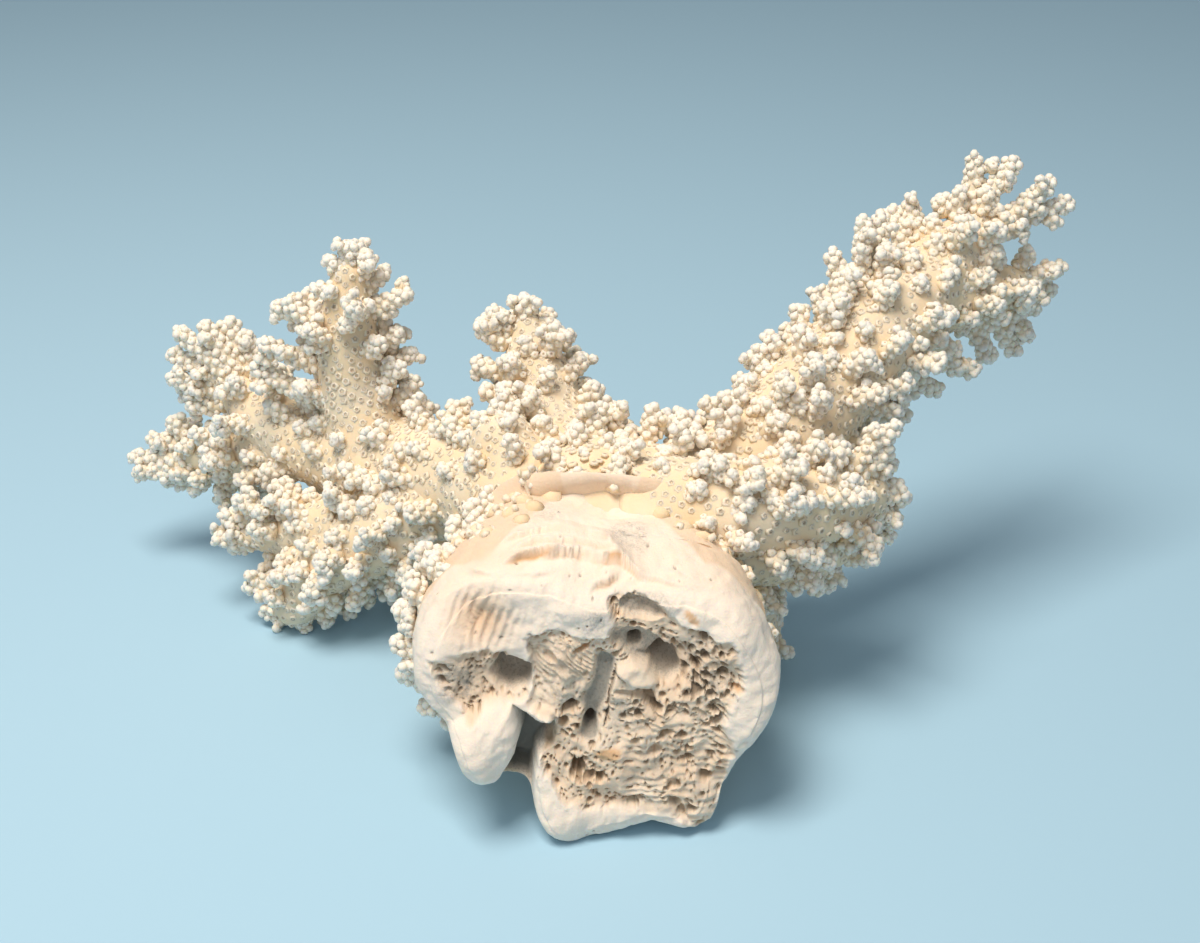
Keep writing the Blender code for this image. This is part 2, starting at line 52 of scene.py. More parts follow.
# Each limb: the frame's node it belongs to, its axis as (x, y, z, radius),
# how far its branchlets reach, and the branchlet tips that show on its outline.
limbs = {
    "stem": {
        "node": "stem",
        "path": [(-2, 44, 40, 22), (-2, 58, 43, 22.5), (0, 76, 46, 23), (0, 96, 48, 17)],
        "reach": 8, "start": 0.2,
        "skin": [(-1, 57, 42, 15), (-1, 63, 43.5, 20), (0, 76, 46, 23), (0, 96, 48, 17)],
        "tips": [],
    },
    "footNubs": {
        "node": "holdfast",
        "path": [(-27, 30, 20, 9), (-30, 32, 36, 11), (-26, 36, 52, 9)],
        "reach": 0, "start": 2,
        "tips": [
            (-41, 35, 58), (-46, 33, 53), (-50, 36, 45), (-51, 33, 37), (-50, 35, 27), (-45, 34, 16),
            (-39, 36, 9), (-47, 42, 50), (-48, 44, 38), (-46, 45, 26), (-42, 46, 16), (-44, 46, 56),
            (-37, 57, 57), (-32, 58, 62), (-28, 66, 61), (-20, 68, 63), (-41, 54, 50),
        ],
    },
    "leftLimb": {
        "node": "left_limb",
        "path": [(-12, 80, 48, 18), (-34, 95, 46, 15), (-52, 108, 44, 14), (-66, 115, 44, 13)],
        "reach": 8, "start": 0.3,
        "tips": [(-50, 118, 58), (-45, 100, 62)],
    },
    "leftTower": {
        "node": "left_tower",
        "path": [(-65, 114, 44, 13), (-68, 118, 62, 10), (-70, 120, 80, 8.5), (-69, 121, 97, 5)],
        "reach": 8, "start": 0.2,
        "tips": [
            (-67, 121, 107), (-74, 120, 103), (-62, 119, 104), (-52, 119, 93), (-58, 124, 98),
            (-55, 119, 82), (-52, 121, 75), (-51, 118, 68), (-50, 120, 61), (-90, 121, 89),
            (-86, 118, 91), (-94, 118, 79), (-97, 120, 71), (-78, 118, 95), (-79, 122, 88),
        ],
    },
    "leftFan": {
        "node": "left_fan",
        "path": [(-64, 112, 44, 13), (-81, 122, 44, 11), (-98, 131, 51, 8.5), (-109, 137, 60, 4.5)],
        "reach": 8, "start": 0.3,
        "tips": [
            (-114, 139, 76), (-122, 139, 74), (-107, 141, 76), (-102, 139, 73), (-97, 138, 69),
            (-125, 140, 66), (-125, 136, 60), (-124, 141, 55), (-120, 136, 51),
        ],
    },
    "leftFanLower": {
        "node": "left_fan_lower",
        "path": [(-84, 124, 42, 9.5), (-104, 132, 38, 8), (-124, 138, 33, 4)],
        "reach": 7.5, "start": 0.2,
        "tips": [
            (-127, 138, 45), (-134, 138, 39), (-140, 138, 33), (-139, 136, 28), (-131, 138, 24),
            (-127, 141, 21), (-121, 137, 22), (-114, 139, 20), (-106, 136, 21), (-100, 137, 21),
            (-117, 131, 35), (-120, 130, 28),
        ],
    },
    "leftFoot": {
        "node": "left_foot",
        "path": [(-44, 98, 40, 13), (-60, 97, 32, 12), (-75, 96, 22, 10), (-86, 95, 9, 7)],
        "reach": 7.5, "start": 0.15,
        "tips": [
            (-90, 98, 0), (-84, 94, -1), (-78, 98, 0), (-72, 99, 3), (-66, 100, 5), (-61, 100, 9),
            (-96, 97, 4), (-101, 99, 11), (-71, 91, 41), (-65, 90, 43), (-58, 91, 45),
        ],
    },
    "leftFootSide": {
        "node": "left_foot",
        "path": [(-70, 99, 30, 10), (-86, 106, 26, 8), (-99, 111, 22, 4.5)],
        "reach": 7.5, "start": 0.2,
        "tips": [
            (-103, 106, 36), (-94, 103, 37), (-108, 109, 29), (-110, 106, 23), (-107, 111, 17),
            (-100, 118, 16), (-104, 117, 30),
        ],
    },
    "leftProp": {
        "node": "left_prop",
        "path": [(-42, 97, 37, 12), (-49, 106, 18, 9), (-54, 112, 3, 6)],
        "reach": 6.5, "start": 0.3,
        "tips": [(-54, 114, -2), (-60, 113, 0), (-50, 107, 0)],
    },
    "middleBranch": {
        "node": "middle_branch",
        "path": [(-9, 88, 47, 17), (-15, 108, 59, 12), (-18, 118, 72, 9), (-20, 122, 82, 4.5)],
        "reach": 8, "start": 0.25,
        "tips": [
            (-21, 122, 91), (-34, 121, 83), (-30, 122, 87), (-35, 119, 73), (-13, 121, 84),
            (-8, 122, 80), (-4, 120, 74), (-3, 118, 67), (1, 116, 61), (-14, 128, 84),
            (-26, 130, 82),
        ],
    },
    "middleTuft": {
        "node": "middle_branch",
        "path": [(-20, 84, 52, 14), (-26, 90, 62, 9)],
        "reach": 7, "start": 0.2,
        "tips": [(-33, 91, 70), (-28, 92, 73), (-24, 92, 72), (-37, 90, 64)],
    },
    "rightArm": {
        "node": "right_arm",
        "path": [(2, 78, 46, 20), (24, 81, 52, 15), (45, 88, 62, 15), (62, 100, 77, 14),
                 (78, 111, 89, 13), (92, 122, 96, 10)],
        "reach": 9, "start": 0.12,
        "tips": [
            (14, 90, 73), (22, 88, 72), (31, 90, 75), (38, 93, 80), (44, 96, 82), (51, 106, 82),
            (53, 110, 93),
            (62, 113, 108), (70, 116, 116), (75, 119, 116), (104, 114, 72), (94, 114, 66),
            (85, 110, 60), (70, 96, 55),
        ],
    },
    "rightCrown": {
        "node": "right_crown",
        "path": [(86, 118, 93, 11), (97, 128, 101, 9), (106, 136, 109, 5)],
        "reach": 7.5, "start": 0.2,
        "tips": [
            (80, 134, 112), (85, 135, 114), (94, 136, 115), (98, 134, 110), (103, 139, 126),
            (106, 133, 118), (114, 138, 125), (125, 138, 119), (131, 139, 112), (118, 136, 109),
        ],
    },
    "rightSideBranch": {
        "node": "right_side_branch",
        "path": [(88, 119, 91, 11), (104, 127, 91, 8), (118, 134, 90, 4.5)],
        "reach": 7.5, "start": 0.25,
        "tips": [
            (120, 135, 100), (131, 137, 94), (129, 138, 86), (124, 136, 81), (121, 134, 76),
            (123, 136, 72), (119, 133, 69), (111, 127, 70),
        ],
    },
    "rightLobe": {
        "node": "right_lobe",
        "path": [(12, 68, 50, 17), (34, 61, 57, 13), (54, 64, 58, 11.5), (68, 71, 57, 7)],
        "reach": 8, "start": 0.3,
        "tips": [
            (76, 71, 77), (74, 70, 71), (76, 73, 65), (78, 72, 59), (80, 72, 55), (78, 71, 49),
            (50, 53, 75), (39, 51, 74), (37, 49, 67), (53, 51, 66), (25, 53, 69), (33, 50, 60),
        ],
    },
    "rightLobeLower": {
        "node": "right_lobe",
        "path": [(26, 64, 47, 13), (46, 63, 46, 10), (60, 68, 43, 6)],
        "reach": 7.5, "start": 0.3,
        "tips": [(77, 72, 44), (70, 71, 39), (63, 71, 32), (41, 51, 50), (48, 52, 45), (56, 54, 52)],
    },
    "rightProp": {
        "node": "right_prop",
        "path": [(27, 68, 38, 15), (37, 73, 21, 10), (44, 79, 4, 6.5)],
        "reach": 5.5, "start": 0.3,
        "tips": [(48, 79, -2), (41, 83, -2), (49, 75, 16), (49, 73, 25), (44, 73, 2)],
    },
    "rearProp": {
        "node": "rear_prop",
        "path": [(4, 88, 38, 15), (10, 106, 22, 11), (15, 120, 4, 6.5)],
        "reach": 7, "start": 0.35,
        "tips": [(16, 123, -2), (22, 121, 0), (9, 120, 0), (14, 130, 12)],
    },
}

branchlet = {
    "spacing": 11.0,        # between branchlets on a limb
    "lean": 52.0,           # degrees between a branchlet and its limb
    "fillEnd": 0.85,        # share of a limb where its evenly spread branchlets stop
    "rootRadius": 2.8,      # of the core, without its cups
    "tipRadius": 1.9,
    "bend": 1.3,            # how far the middle of a branchlet wanders
    "rings": 7,             # along its core
    "sides": 8,             # round its core
    "smallSpacing": 8.6,    # between the small branchlets that fill the gaps
    "smallReach": 3.8,
    "smallClear": 6.4,      # least distance from a small tip to its neighbours
    "budFrom": 8.0,         # branchlets that show more than this carry buds
    "budReach": (2.2, 4.2),
    "budRadius": 1.35,
    "footSpacing": 7.4,     # between the branchlets on the foot
    "footReach": (4.5, 9.0),
}

cup = {
    "spacing": 2.6,         # between cups on a branchlet
    "radius": 1.2,
    "height": 1.15,
    "lean": 38.0,           # degrees that a cup leans towards its branchlet's tip
    "sides": 5,
    "limbSpacing": 2.8,     # between the low cups on bare limb
    "lowRadius": 1.05,
}

# Profiles of the cups from foot to pore: radius as a share, height as a share,
# how far below that, whiteness (low at the foot: painted shade where a cup meets its core), and how far in
# the pore it is (the pore's painted shade).
tallCup = [(1.12, 0.0, 0.45, 0.15, 0.0), (1.0, 0.58, 0.0, 0.8, 0.0), (0.5, 1.0, 0.0, 1.0, 0.0)]
lowCup = [(1.35, 0.0, 0.5, 0.1, 0.0), (0.85, 0.95, 0.0, 0.5, 0.0), (0.42, 0.9, 0.05, 0.35, 0.45)]

# Parts of limbs that the photograph shows bare, as (x, y, z, radius).
barePatches = [(-68, 106, 74, 11), (-47, 92, 50, 10), (46, 50, 58, 7), (38, 50, 52, 7)]


def toFrame(points):
    """(points - origin) * metres per millimetre"""
    scale = 0.001 * drawing["spread"] / drawing["drawnSpread"]
    return (points - np.array(drawing["origin"])) * scale


def unit(v):
    """v / |v| along the last axis"""
    return v / np.maximum(np.linalg.norm(v, axis=-1, keepdims=True), 1e-9)


def sideAxes(way):
    """first = up x way, second = way x first, both at right angles to way"""
    helper = np.where(np.abs(way[..., 2:3]) < 0.9, [0.0, 0.0, 1.0], [1.0, 0.0, 0.0])
    first = unit(np.cross(helper, way))
    return first, np.cross(way, first)


def smoothstep(low, high, value):
    """t*t*(3 - 2t) with t = (value - low) / (high - low) kept within 0..1"""
    t = np.clip((value - low) / (high - low), 0, 1)
    return t * t * (3 - 2 * t)


def catmull(before, start, end, after, t):
    """the cubic through start and end whose slopes follow their neighbours"""
    return 0.5 * (2 * start + (end - before) * t + (2 * before - 5 * start + 4 * end - after) * t ** 2
                  + (3 * start - before - 3 * end + after) * t ** 3)


def smoothPath(points, steps):
    """each span of the points read at t = 0, 1/steps, 2/steps ... of its cubic"""
    pts = np.array(points, float)
    ends = np.vstack([2 * pts[0] - pts[1], pts, 2 * pts[-1] - pts[-2]])
    t = np.arange(steps)[:, None] / steps
    spans = [catmull(*ends[i:i + 4], t) for i in range(len(pts) - 1)]
    return np.vstack(spans + [pts[-1:]])


def curveAt(values, t):
    """the rows of values as one smooth curve, read at the parameters t"""
    rows = np.array(values, float)
    ends = np.concatenate([[2 * rows[0] - rows[1]], rows, [2 * rows[-1] - rows[-2]]])
    i = np.clip(np.floor(t).astype(int), 0, len(rows) - 2)
    share = (t - i)[..., None]
    return catmull(ends[i], ends[i + 1], ends[i + 2], ends[i + 3], share)


def lattice(cell, salt):
    """a fixed share from 0 to 1 for each whole-number place, by mixing its bits"""
    c = cell.astype(np.int64)
    h = c[..., 0] * 374761393 + c[..., 1] * 668265263 + c[..., 2] * 1440662683 + salt * 974634777
    h = (h & 0xFFFFFFFF).astype(np.uint64)
    h = ((h ^ (h >> np.uint64(13))) * np.uint64(1274126177)) & np.uint64(0xFFFFFFFF)
    h = ((h ^ (h >> np.uint64(16))) * np.uint64(2246822519)) & np.uint64(0xFFFFFFFF)
    return ((h >> np.uint64(8)) & np.uint64(0xFFFF)).astype(float) / 65535.0


def softNoise(points, size, salt):
    """values at the corners of cells of the given size, blended smoothly, -1..1"""
    p = points / size
    cell = np.floor(p)
    f = p - cell
    f = f * f * (3 - 2 * f)
    total = np.zeros(points.shape[:-1])
    for dx in (0, 1):
        for dy in (0, 1):
            for dz in (0, 1):
                weight = (np.abs(1 - dx - f[..., 0]) * np.abs(1 - dy - f[..., 1])
                          * np.abs(1 - dz - f[..., 2]))
                total += weight * lattice(cell + np.array([dx, dy, dz]), salt)
    return 2 * total - 1


def layeredNoise(points, size, layers, salt):
    """sum of softNoise(size / 2^k) / 2^k"""
    return sum(softNoise(points, size / 2 ** k, salt + k) / 2 ** k for k in range(layers))


def cells(points, size, salt):
    """distances to the nearest and second nearest scattered point, and the nearest one's share"""
    p = points / size
    cell = np.floor(p)
    near = np.full(points.shape[:-1], 9.0)
    second = near.copy()
    share = np.zeros_like(near)
    for dx in (-1, 0, 1):
        for dy in (-1, 0, 1):
            for dz in (-1, 0, 1):
                c = cell + np.array([dx, dy, dz])
                spot = c + np.stack([lattice(c, salt + k) for k in range(3)], -1)
                away = np.linalg.norm(p - spot, axis=-1)
                closer = away < near
                second = np.where(closer, near, np.minimum(second, away))
                share = np.where(closer, lattice(c, salt + 3), share)
                near = np.minimum(near, away)
    return near, second, share


def ringPart(rings, bottom, top, marks, bottomMarks, topMarks):
    """closed shapes, each of R rings of S points with a pole at both ends:
    rings is (N, R, S, 3), the poles (N, 3), marks (N, R, S, M) and the poles' marks (N, M)"""
    n, r, s = rings.shape[:3]
    k = np.arange(s)
    after = (k + 1) % s
    low = (np.arange(r - 1) * s)[:, None]
    quads = np.stack([low + k, low + after, low + s + after, low + s + k], -1).reshape(-1, 4)
    fans = np.vstack([np.stack([after, k, np.full(s, r * s)], -1),
                      np.stack([(r - 1) * s + k, (r - 1) * s + after, np.full(s, r * s + 1)], -1)])
    step = (np.arange(n) * (r * s + 2))[:, None, None]
    points = np.concatenate([rings.reshape(n, r * s, 3), bottom[:, None], top[:, None]], 1)
    signs = np.concatenate([marks.reshape(n, r * s, -1), bottomMarks[:, None], topMarks[:, None]], 1)
    return {
        "points": points.reshape(-1, 3),
        "quads": (quads + step).reshape(-1, 4),
        "fans": (fans + step).reshape(-1, 3),
        "marks": signs.reshape(-1, signs.shape[-1]),
    }


def joinParts(parts):
    """all parts as one: each part's point numbers go up by the number of points before it"""
    counts = np.cumsum([0] + [len(p["points"]) for p in parts])
    return {
        "points": np.vstack([p["points"] for p in parts]),
        "quads": np.vstack([p["quads"] + c for p, c in zip(parts, counts)]),
        "fans": np.vstack([p["fans"] + c for p, c in zip(parts, counts)]),
        "marks": np.vstack([p["marks"] for p in parts]),
    }


def makePiece(name, part, markNames, material, node):
    """one mesh object from a part, riding on the root and standing for its node"""
    points = part["points"].copy()
    points[:, 2] = np.maximum(points[:, 2], drawing["ground"])
    quads, fans = part["quads"], part["fans"]
    mesh = bpy.data.meshes.new(name)
    mesh.vertices.add(len(points))
    mesh.vertices.foreach_set("co", toFrame(points).astype(np.float32).ravel())
    loops = np.concatenate([quads.ravel(), fans.ravel()]).astype(np.int32)
    mesh.loops.add(len(loops))
    mesh.loops.foreach_set("vertex_index", loops)
    starts = np.concatenate([np.arange(len(quads)) * 4, 4 * len(quads) + np.arange(len(fans)) * 3])
    mesh.polygons.add(len(starts))
    mesh.polygons.foreach_set("loop_start", starts.astype(np.int32))
    mesh.update(calc_edges=True)
    mesh.validate()
    for k, markName in enumerate(markNames):
        layer = mesh.attributes.new(markName, "FLOAT", "POINT")
        layer.data.foreach_set("value", part["marks"][:, k].astype(np.float32))
    mesh.shade_smooth()
    mesh.materials.append(material)
    piece = bpy.data.objects.new(name, mesh)
    bpy.context.scene.collection.objects.link(piece)
    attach(piece, "root")
    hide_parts(node)
    print(name, "triangles", 2 * len(quads) + len(fans))
    return piece


def linear(code):
    """#RRGGBB from sRGB to linear light"""
    share = np.array([int(code[i:i + 2], 16) for i in (1, 3, 5)]) / 255.0
    light = np.where(share <= 0.04045, share / 12.92, ((share + 0.055) / 1.055) ** 2.4)
    return (*light.tolist(), 1.0)


def addNode(tree, kind, settings=None, links=None):
    """one node of a material: its settings, then its inputs linked or given"""
    node = tree.nodes.new(kind)
    for key, value in (settings or {}).items():
        setattr(node, key, value)
    for key, value in (links or {}).items():
        if isinstance(value, bpy.types.NodeSocket):
            tree.links.new(value, node.inputs[key])
        else:
            node.inputs[key].default_value = value
    return node


# Branches

def nearestOn(path, point):
    """the axis point nearest to a tip, moved back along the axis by 0.55 of that distance"""
    away = np.linalg.norm(path[:, :3] - point, axis=1)
    i = int(np.argmin(away))
    back = 0.55 * away[i]
    while i > 0 and back > 0:
        back -= np.linalg.norm(path[i, :3] - path[i - 1, :3])
        i -= 1
    return path[i, :3], path[i, 3]


def insideLimb(points, ownName, curves, margin, sphereStart=False):
    """True where a point is nearer to another limb's axis than its radius plus the margin,
    and, unless its start counts as a sphere, ahead of where that limb begins"""
    inside = np.zeros(len(points), bool)
    for name, path in curves.items():
        if name != ownName:
            away = np.linalg.norm(points[:, None] - path[None, :, :3], axis=2) - path[:, 3]
            ahead = (points - path[0, :3]) @ (path[1, :3] - path[0, :3]) > 0
            inside |= (away.min(axis=1) < margin) & (ahead | sphereStart)
    return inside


def spiralBranchlets(name, path, curves, rng, spacing, reach, start, end, sphereStart):
    """branchlet i of n sits where i / n of the limb's area is behind it, turned by i golden turns"""
    length = np.concatenate([[0], np.cumsum(np.linalg.norm(np.diff(path[:, :3], axis=0), axis=1))])
    area = np.concatenate([[0], np.cumsum(np.diff(length) * math.pi * (path[1:, 3] + path[:-1, 3]))])
    count = int(area[-1] / spacing ** 2)
    draws = rng.uniform([-0.3, 0.8], [0.3, 1.2], (count, 2))
    i = np.arange(count)
    where = np.interp((i + 0.5) / count * area[-1], area, length)
    turn = i * goldenTurn + draws[:, 0]
    centre = np.stack([np.interp(where, length, path[:, k]) for k in range(4)], 1)
    ahead = np.stack([np.interp(where + 2, length, path[:, k]) for k in range(3)], 1)
    behind = np.stack([np.interp(where - 2, length, path[:, k]) for k in range(3)], 1)
    along = unit(ahead - behind)
    first, second = sideAxes(along)
    outWay = np.cos(turn)[:, None] * first + np.sin(turn)[:, None] * second
    radius = centre[:, 3:4]
    lean = math.radians(branchlet["lean"])
    root = centre[:, :3] + outWay * radius * 0.6
    tip = root + (math.sin(lean) * outWay + math.cos(lean) * along) * (radius * 0.4 + reach * draws[:, 1:])
    share = where / length[-1]
    keep = (share > start) & (share < end) & ~insideLimb(tip, name, curves, 1.0, sphereStart)
    return root[keep], tip[keep], 0.4 * centre[keep, 3]


def growBranchlets():
    """every limb's long and small branchlets: root, tip and length buried in the limb"""
    rng = np.random.default_rng(drawing["seed"])
    curves = {name: smoothPath(limb["path"], 8) for name, limb in limbs.items()}
    grown = {}
    for name, limb in limbs.items():
        path = curves[name]
        tips = np.array(limb["tips"], float).reshape(-1, 3)
        onAxis = [nearestOn(path, tip) for tip in tips]
        roots = np.array([spot for spot, radius in onAxis]).reshape(-1, 3)
        buried = np.array([radius for spot, radius in onAxis])
        spread = spiralBranchlets(name, path, curves, rng, branchlet["spacing"], limb["reach"],
                                  limb["start"], branchlet["fillEnd"], True)
        clear = np.ones(len(spread[0]), bool)
        if len(tips):
            clear = np.linalg.norm(spread[1][:, None] - tips[None], axis=2).min(axis=1) >= 6.0
        grown[name] = [(np.vstack([roots, spread[0][clear]]), np.vstack([tips, spread[1][clear]]),
                        np.concatenate([buried, spread[2][clear]]))]
    everyTip = np.vstack([g[0][1] for g in grown.values()])
    smallRng = np.random.default_rng(drawing["seed"] + 1)
    for name, limb in limbs.items():
        if limb["reach"] == 0:
            continue
        root, tip, buried = spiralBranchlets(
            name, curves[name], curves, smallRng, branchlet["smallSpacing"],
            branchlet["smallReach"], 0.0, 0.97, False)
        clear = np.linalg.norm(tip[:, None] - everyTip[None], axis=2).min(axis=1)
        keep = clear >= branchlet["smallClear"]
        grown[name].append((root[keep], tip[keep], buried[keep]))
    for name, groups in grown.items():
        for k, (root, tip, buried) in enumerate(groups):
            keep = ~onSmoothFoot(tip) & ~inBarePatch(tip)
            groups[k] = (root[keep], tip[keep], buried[keep])
    return curves, grown


def onSmoothFoot(points):
    """True over the smooth top of the foot, where no branchlet grows"""
    x, y, z = points.T
    return (y < 61 - 1.9 * np.maximum(0, np.abs(x) - 9)) & (z > 50)


def inBarePatch(points):
    """True within a patch's radius of its centre"""
    bare = np.zeros(len(points), bool)
    for x, y, z, radius in barePatches:
        bare |= np.linalg.norm(points - np.array([x, y, z]), axis=1) < radius
    return bare


def revolved(cups, profile, sink, rng):
    """ring k of a cup: base + way * (height * up - sunk) + radius * out * (cos, sin),
    with a little wobble; its whiteness is the profile's, mixed with the cup's painted shade, and its mouth
    takes painted shade at the top pole"""
    base, way, radius, height, shade, mouth = cups
    out, up, sunk, white, poreShade = np.array(profile).T
    n, r, sides = len(base), len(out), cup["sides"]
    first, second = sideAxes(way)
    angle = 2 * math.pi * np.arange(sides) / sides + rng.uniform(0, 6.28, (n, 1))
    wobble = 1 + rng.uniform(-0.08, 0.08, (n, 1, sides, 1))
    spoke = np.cos(angle)[..., None] * first[:, None] + np.sin(angle)[..., None] * second[:, None]
    rise = height[:, None] * up - sunk
    centre = base[:, None] + way[:, None] * rise[..., None]
    reach = radius[:, None] * out
    rings = centre[:, :, None] + reach[:, :, None, None] * spoke[:, None] * wobble
    whites = shade[:, None] + (1 - shade[:, None]) * white * 0.8
    marks = np.stack([whites, np.broadcast_to(poreShade, (n, r))], -1)
    marks = np.broadcast_to(marks[:, :, None], (n, r, sides, 2))
    bottom = base - way * sunk[0] * 1.2
    top = base + way * (height * up[-1] - sunk[-1] - sink * (0.3 + 0.7 * mouth))[:, None]
    # painted shade in the cup's mouth: the top pole is darker and carries the mouth's pore mark
    deep = np.stack([shade * 0.7, mouth], -1)
    plain = np.stack([shade, np.zeros(n)], -1)
    return ringPart(rings, bottom, top, marks, plain, deep)


def fingerCores(root, tip, buried, rootRadius, tipRadius, rng):
    """straight cores from where they leave the limb, with a bend and a round end"""
    n = len(root)
    line = tip - root
    length = np.linalg.norm(line, axis=1)
    start = np.clip(0.85 * buried / length, 0, 0.72)
    shown = length * (1 - start)
    swell = rng.uniform(0.9, 1.12, n)
    cap = np.minimum(tipRadius * swell, 0.6 * shown)
    way = line / length[:, None]
    first, second = sideAxes(way)
    return {
        "root": root, "line": line, "length": length, "start": start, "cap": cap, "way": way,
        "first": first, "second": second, "straight": shown - cap, "shown": shown,
        "wide": rootRadius * swell, "narrow": tipRadius * swell,
        "bend": rng.uniform(-1, 1, (n, 3)) * branchlet["bend"],
        "skin": shown - cap + 0.5 * math.pi * cap,
    }


def onFinger(core, mm, turn):
    """place, outward way and share of the length on a core, mm along its skin and turned by turn:
    straight up to the round end, then along a quarter circle"""
    theta = np.clip((mm - core["straight"][:, None]) / core["cap"][:, None], 0, 0.5 * math.pi)
    along = np.minimum(mm, core["straight"][:, None]) + core["cap"][:, None] * np.sin(theta)
    t = core["start"][:, None] + along / core["length"][:, None]
    radius = core["wide"][:, None] + (core["narrow"] - core["wide"])[:, None] * t
    radius = radius * np.cos(theta)
    bend = core["bend"][:, None] * (4 * t * (1 - t))[..., None]
    centre = core["root"][:, None] + core["line"][:, None] * t[..., None] + bend
    spoke = (np.cos(turn)[..., None] * core["first"][:, None]
             + np.sin(turn)[..., None] * core["second"][:, None])
    outward = np.cos(theta)[..., None] * spoke + np.sin(theta)[..., None] * core["way"][:, None]
    return centre + radius[..., None] * spoke, outward, t


def fingerSkins(core):
    """the skins of the cores, rings from where they leave the limb to their round ends"""
    n, rings, sides = len(core["root"]), branchlet["rings"], branchlet["sides"]
    mm = np.repeat(np.linspace(0, 0.93, rings), sides)[None] * core["skin"][:, None]
    turn = np.tile(2 * math.pi * np.arange(sides) / sides, rings)[None] + np.zeros((n, 1))
    place, _, t = onFinger(core, mm, turn)
    shown = (t - core["start"][:, None]) / (1 - core["start"][:, None])
    # painted shade: the skin is warm and dark where it leaves the limb and lighter towards its end
    marks = np.stack([0.2 + 0.6 * shown, 0 * shown], -1).reshape(n, rings, sides, 2)
    ends, _, _ = onFinger(core, core["skin"][:, None] * np.array([[0.0, 0.0, 1.0]]),
                          np.array([[0.0, math.pi, 0.0]]) + np.zeros((n, 1)))
    bottom = ends[:, :2].mean(axis=1) - core["way"] * 0.8
    return ringPart(place.reshape(n, rings, sides, 3), bottom, ends[:, 2], marks,
                    np.tile([0.2, 0.0], (n, 1)), np.tile([0.9, 0.0], (n, 1)))


def fingerCups(core, rng):
    """cup j of n on a core: (j + 0.5) / n of its skin along, turned by j golden turns, leaning
    forward; and one more on its very end"""
    area = core["skin"] * math.pi * (core["wide"] + core["narrow"])
    count = np.maximum(5, area / cup["spacing"] ** 2).astype(int)
    owner = np.repeat(np.arange(len(count)), count)
    j = np.arange(len(owner)) - np.repeat(np.cumsum(count) - count, count)
    share = (j + 0.5) / count[owner]
    some = {key: value[owner] for key, value in core.items()}
    turn = j * goldenTurn + rng.uniform(0, 6.28, len(count))[owner] + rng.uniform(-0.22, 0.22, len(j))
    spot, outward, _ = onFinger(some, (0.95 * share * some["skin"])[:, None], turn[:, None])
    lean = np.radians(cup["lean"] + rng.uniform(-10, 10, len(j)))[:, None]
    way = unit(np.cos(lean) * outward[:, 0] + np.sin(lean) * some["way"])
    size = cup["radius"] * rng.uniform(0.82, 1.15, len(j))
    height = cup["height"] * rng.uniform(0.55, 1.25, len(j)) * (0.75 + 0.4 * share)
    # painted shade: cups nearer the limb are warmer and darker, and their mouths darker
    shade = 0.3 + 0.6 * share
    mouth = rng.uniform(0, 1, len(j)) ** 2 * (0.9 - 0.45 * share)
    end, _, _ = onFinger(core, core["skin"][:, None], np.zeros((len(count), 1)))
    n = len(count)
    return (np.vstack([spot[:, 0] - outward[:, 0] * 0.2, end[:, 0] - core["way"] * 0.3]),
            np.vstack([way, core["way"]]), np.concatenate([size, np.full(n, 1.1 * cup["radius"])]),
            np.concatenate([height, rng.uniform(0.9, 1.5, n)]), np.concatenate([shade, np.ones(n)]),
            np.concatenate([mouth, rng.uniform(0, 0.4, n)]))


def budsOn(core, rng):
    """two buds on each branchlet that shows enough: root on its axis, leaning out and forward"""
    which = np.repeat(np.nonzero(core["shown"] > branchlet["budFrom"])[0], 2)
    n = len(which)
    some = {key: value[which] for key, value in core.items()}
    mm = (rng.uniform(0.3, 0.75, n) * some["shown"])[:, None]
    turn = rng.uniform(0, 6.28, (n, 1))
    place, outward, _ = onFinger(some, mm, turn)
    place, outward = place[:, 0], outward[:, 0]
    root = place - outward * 1.6
    way = unit(outward * 0.75 + some["way"] * 0.65)
    return root, root + way * (1.6 + rng.uniform(*branchlet["budReach"], n))[:, None], np.full(n, 1.4)


def limbSurface(points, radius):
    """lumps on a limb: up to a twelfth of its radius, with smaller ones of 0.25 mm"""
    return radius * 0.08 * softNoise(points, 11.0, 31) + 0.25 * softNoise(points, 3.2, 32)


def withDome(path):
    """the axis with a few more places that round off its end: radius * sqrt(1 - d^2) at d * radius"""
    last = unit(path[-1, :3] - path[-2, :3])
    d = np.array([0.35, 0.65, 0.88])
    caps = np.hstack([path[-1, :3] + last * (d * path[-1, 3])[:, None],
                      (np.sqrt(1 - d ** 2) * path[-1, 3])[:, None]])
    return np.vstack([path, caps])


def limbTube(path):
    """rings round the limb's axis, out by its radius plus its lumps, with a dome on its end"""
    sides = 36
    p = withDome(smoothPath(path, 10))
    last = unit(p[-1, :3] - p[-2, :3])
    way = unit(np.gradient(p[:, :3], axis=0))
    first, second = sideAxes(way)
    angle = 2 * math.pi * np.arange(sides) / sides
    spoke = np.cos(angle)[None, :, None] * first[:, None] + np.sin(angle)[None, :, None] * second[:, None]
    plain = p[:, None, :3] + p[:, 3][:, None, None] * spoke
    lumps = limbSurface(plain, p[:, 3][:, None])
    rings = (plain + spoke * lumps[..., None])[None]
    # painted shade: the limb's skin lies deep among the branchlets, so it takes little whiteness, varying
    # at random
    white = 0.3 + 0.15 * softNoise(plain, 6.0, 35)
    marks = np.stack([white, np.zeros_like(white)], -1)[None]
    return ringPart(rings, p[None, 0, :3], (p[-1, :3] + last * 0.12 * p[-4, 3])[None], marks,
                    np.array([[0.1, 0.0]]), np.array([[0.1, 0.0]]))


